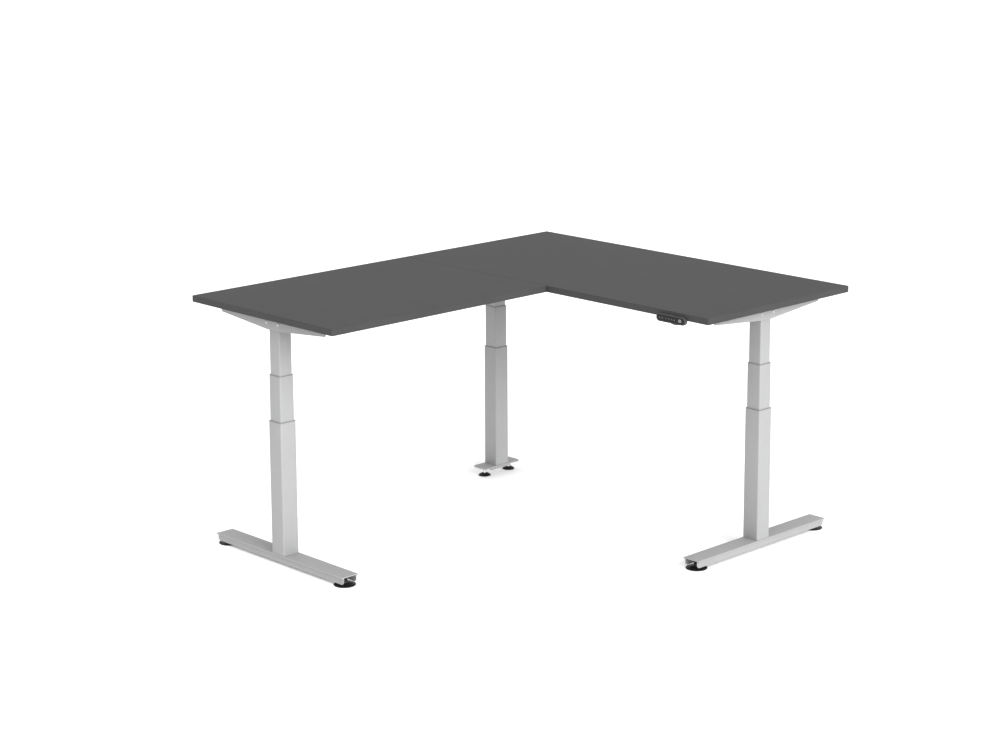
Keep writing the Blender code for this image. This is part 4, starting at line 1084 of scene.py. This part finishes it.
def make_display():
    """A dark window with a pale lit field and the height in it."""
    low, high = box_of("handset_display")
    middle = centre_of("handset_display")
    half = (high - low) / 2
    place = Matrix.Translation((middle.x, low.y + PANEL_THICKNESS, middle.z)) @ FACING_FRONT
    front = PANEL_THICKNESS - GLASS_SETBACK
    glass = rounded_plate(half.x, half.z, GLASS_CORNER, 0, front, GLASS_SETBACK)
    piece("display_glass", glass, "handset_film", "desk_top", place, ("handset_display",))
    field = rounded_plate(LIT_WINDOW[0] / 2, LIT_WINDOW[1] / 2, LIT_WINDOW_CORNER, front,
                          PANEL_THICKNESS - LIT_WINDOW_SETBACK)
    shift = Matrix.Translation((LIT_WINDOW_SHIFT, 0, 0))
    piece("display_field", field, "display_window", "desk_top", place @ shift)
    for index, text in enumerate(HEIGHT_SHOWN):
        shift = Matrix.Translation((LIT_WINDOW_SHIFT + (index - 0.5) * DIGIT_SPACING, 0,
                                    PANEL_THICKNESS - DIGIT_SETBACK))
        digit = moved(numeral(text), Matrix.Diagonal((DIGIT_SCALE, DIGIT_SCALE, 1, 1)))
        piece("display_digit_" + str(index + 1), digit, "handset_film", "desk_top", place @ shift)


# --- Control box ---

def socket_shape(size, proud):
    """A connector's frame standing proud of an end wall, open towards +X."""
    shape = rounded_ring(size[0] / 2, size[1] / 2, SOCKET_WALL, SOCKET_WALL, 0,
                         SOCKET_DEPTH + proud, SOCKET_EDGE)
    turn = Matrix.Rotation(math.pi / 2, 4, "Y") @ Matrix.Rotation(math.pi / 2, 4, "Z")
    return moved(shape, Matrix.Translation((-SOCKET_DEPTH, 0, 0)) @ turn)


def make_control_box():
    """The control box under the main board, with its sockets, its inlet and its fixing ears."""
    low, high = box_of("control_box_case")
    middle = centre_of("control_box_case")
    centre = Vector((middle.x, middle.y, high.z))
    half_width = (high.y - low.y) / 2
    height = high.z - low.z
    half_length = (high.x - low.x) / 2 - CONTROL_EAR
    place = Matrix.Translation(centre)
    body = block((-half_length, -half_width, -height), (half_length, half_width, 0),
                 CONTROL_EDGE, 4)
    reach = half_width * RIB_SHARE
    ribs = []
    for index in range(RIB_COUNT):
        x = (index - (RIB_COUNT - 1) / 2) * RIB_SPACING
        ribs.append(block((x - RIB_HALF, -reach, -height - RIB_HEIGHT),
                          (x + RIB_HALF, reach, -height + RIB_HEIGHT), RIB_EDGE))
    ears = rounded_plate(half_length + CONTROL_EAR, CONTROL_EAR, CONTROL_EAR_CORNER,
                         -CONTROL_EAR_THICKNESS, 0, CONTROL_EAR_EDGE)
    piece("control_box_shell", [body, ears] + ribs, "control_box_plastic", "desk_top", place,
          ("control_box_case",))
    level = -height / 2
    row = half_width - SOCKET_MARGIN
    sockets = []
    mirror = Matrix.Rotation(math.pi, 4, "Z")
    for index in range(SOCKET_COUNT):
        y = (index + 0.5) * 2 * row / SOCKET_COUNT - row
        shape = socket_shape(SOCKET_SIZE, SOCKET_PROUD)
        sockets.append(moved(shape, Matrix.Translation((-half_length, y, level)) @ mirror))
    inlet = socket_shape(INLET_SIZE, INLET_PROUD)
    sockets.append(moved(inlet, Matrix.Translation((half_length, 0, level))))
    piece("control_box_sockets", sockets, "handset_film", "desk_top", place)
    half_y, half_z = PIN_HALF
    pins = [block((half_length, y - half_y, level + z - half_z),
                  (half_length + PIN_REACH, y + half_y, level + z + half_z), PIN_EDGE)
            for y, z in PIN_PLACES]
    piece("control_box_inlet_pins", pins, "zinc_steel", "desk_top", place)
    reach = half_length + CONTROL_EAR / 2
    screws = [wood_screw(centre + Vector((sign * reach, 0, -CONTROL_EAR_THICKNESS)))
              for sign in (-1, 1)]
    piece("control_box_screws", screws, "zinc_steel", "desk_top")


# --- Kept CAD nodes ---

def finish_kept_nodes():
    """Give the boards, the columns' screws and shafts and the circuit board their finish."""
    finishes = {"main_desktop": "desktop_laminate", "return_desktop": "desktop_laminate",
                "control_circuit_board": "circuit_board"}
    for leg in LEG_TURNS:
        for kind in ("base_screw", "lift_screw", "drive_shaft"):
            finishes[leg + "_" + kind] = "screw_steel"
    for node, finish in finishes.items():
        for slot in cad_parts[node].material_slots:
            slot.material = FINISHES[finish]


# --- Surroundings ---

def make_floor():
    """A wide pale floor, lit a little from below as a light table is."""
    shape = bmesh.new()
    bmesh.ops.create_grid(shape, x_segments=1, y_segments=1, size=FLOOR_HALF)
    mesh = bpy.data.meshes.new("floor")
    shape.to_mesh(mesh)
    shape.free()
    floor = bpy.data.objects.new("floor", mesh)
    bpy.context.scene.collection.objects.link(floor)
    surface = grainy("floor", (0.92, 0.92, 0.92), 0.9, spread=0.003, patch=0.5)
    shader = surface.node_tree.nodes["Principled BSDF"]
    shader.inputs["Emission Color"].default_value = (1, 1, 1, 1)
    shader.inputs["Emission Strength"].default_value = FLOOR_GLOW
    mesh.materials.append(surface)


def light_scene():
    """An even white surround, with a strong soft light from the right and a weak one in front."""
    world = bpy.data.worlds.new("studio")
    world.use_nodes = True
    background = world.node_tree.nodes["Background"]
    background.inputs["Color"].default_value = (1, 1, 1, 1)
    background.inputs["Strength"].default_value = SURROUND
    bpy.context.scene.world = world
    for name, strength, height, turn in LIGHTS:
        light = bpy.data.lights.new(name, "SUN")
        light.energy = strength
        light.angle = math.radians(LIGHT_SPREAD)
        holder = bpy.data.objects.new(name, light)
        holder.rotation_euler = (0, math.radians(90 - height), math.radians(turn))
        bpy.context.scene.collection.objects.link(holder)


def place_camera():
    """Look down at the desk's outer corner of the L from the front right."""
    camera = bpy.data.cameras.new("camera")
    camera.lens = CAMERA_LENS
    camera.shift_x, camera.shift_y = CAMERA_SHIFT
    camera.clip_end = 200
    holder = bpy.data.objects.new("camera", camera)
    holder.location = CAMERA_PLACE
    holder.rotation_euler = (math.radians(90 - CAMERA_PITCH), 0, math.radians(CAMERA_TURN))
    bpy.context.scene.collection.objects.link(holder)
    bpy.context.scene.camera = holder


make_columns()
make_brackets()
make_rails()
make_joining_plates()
make_motors()
make_feet()
make_glides()
make_handset()
make_control_box()
finish_kept_nodes()
make_floor()
light_scene()
place_camera()
bpy.context.scene.view_settings.view_transform = "Standard"
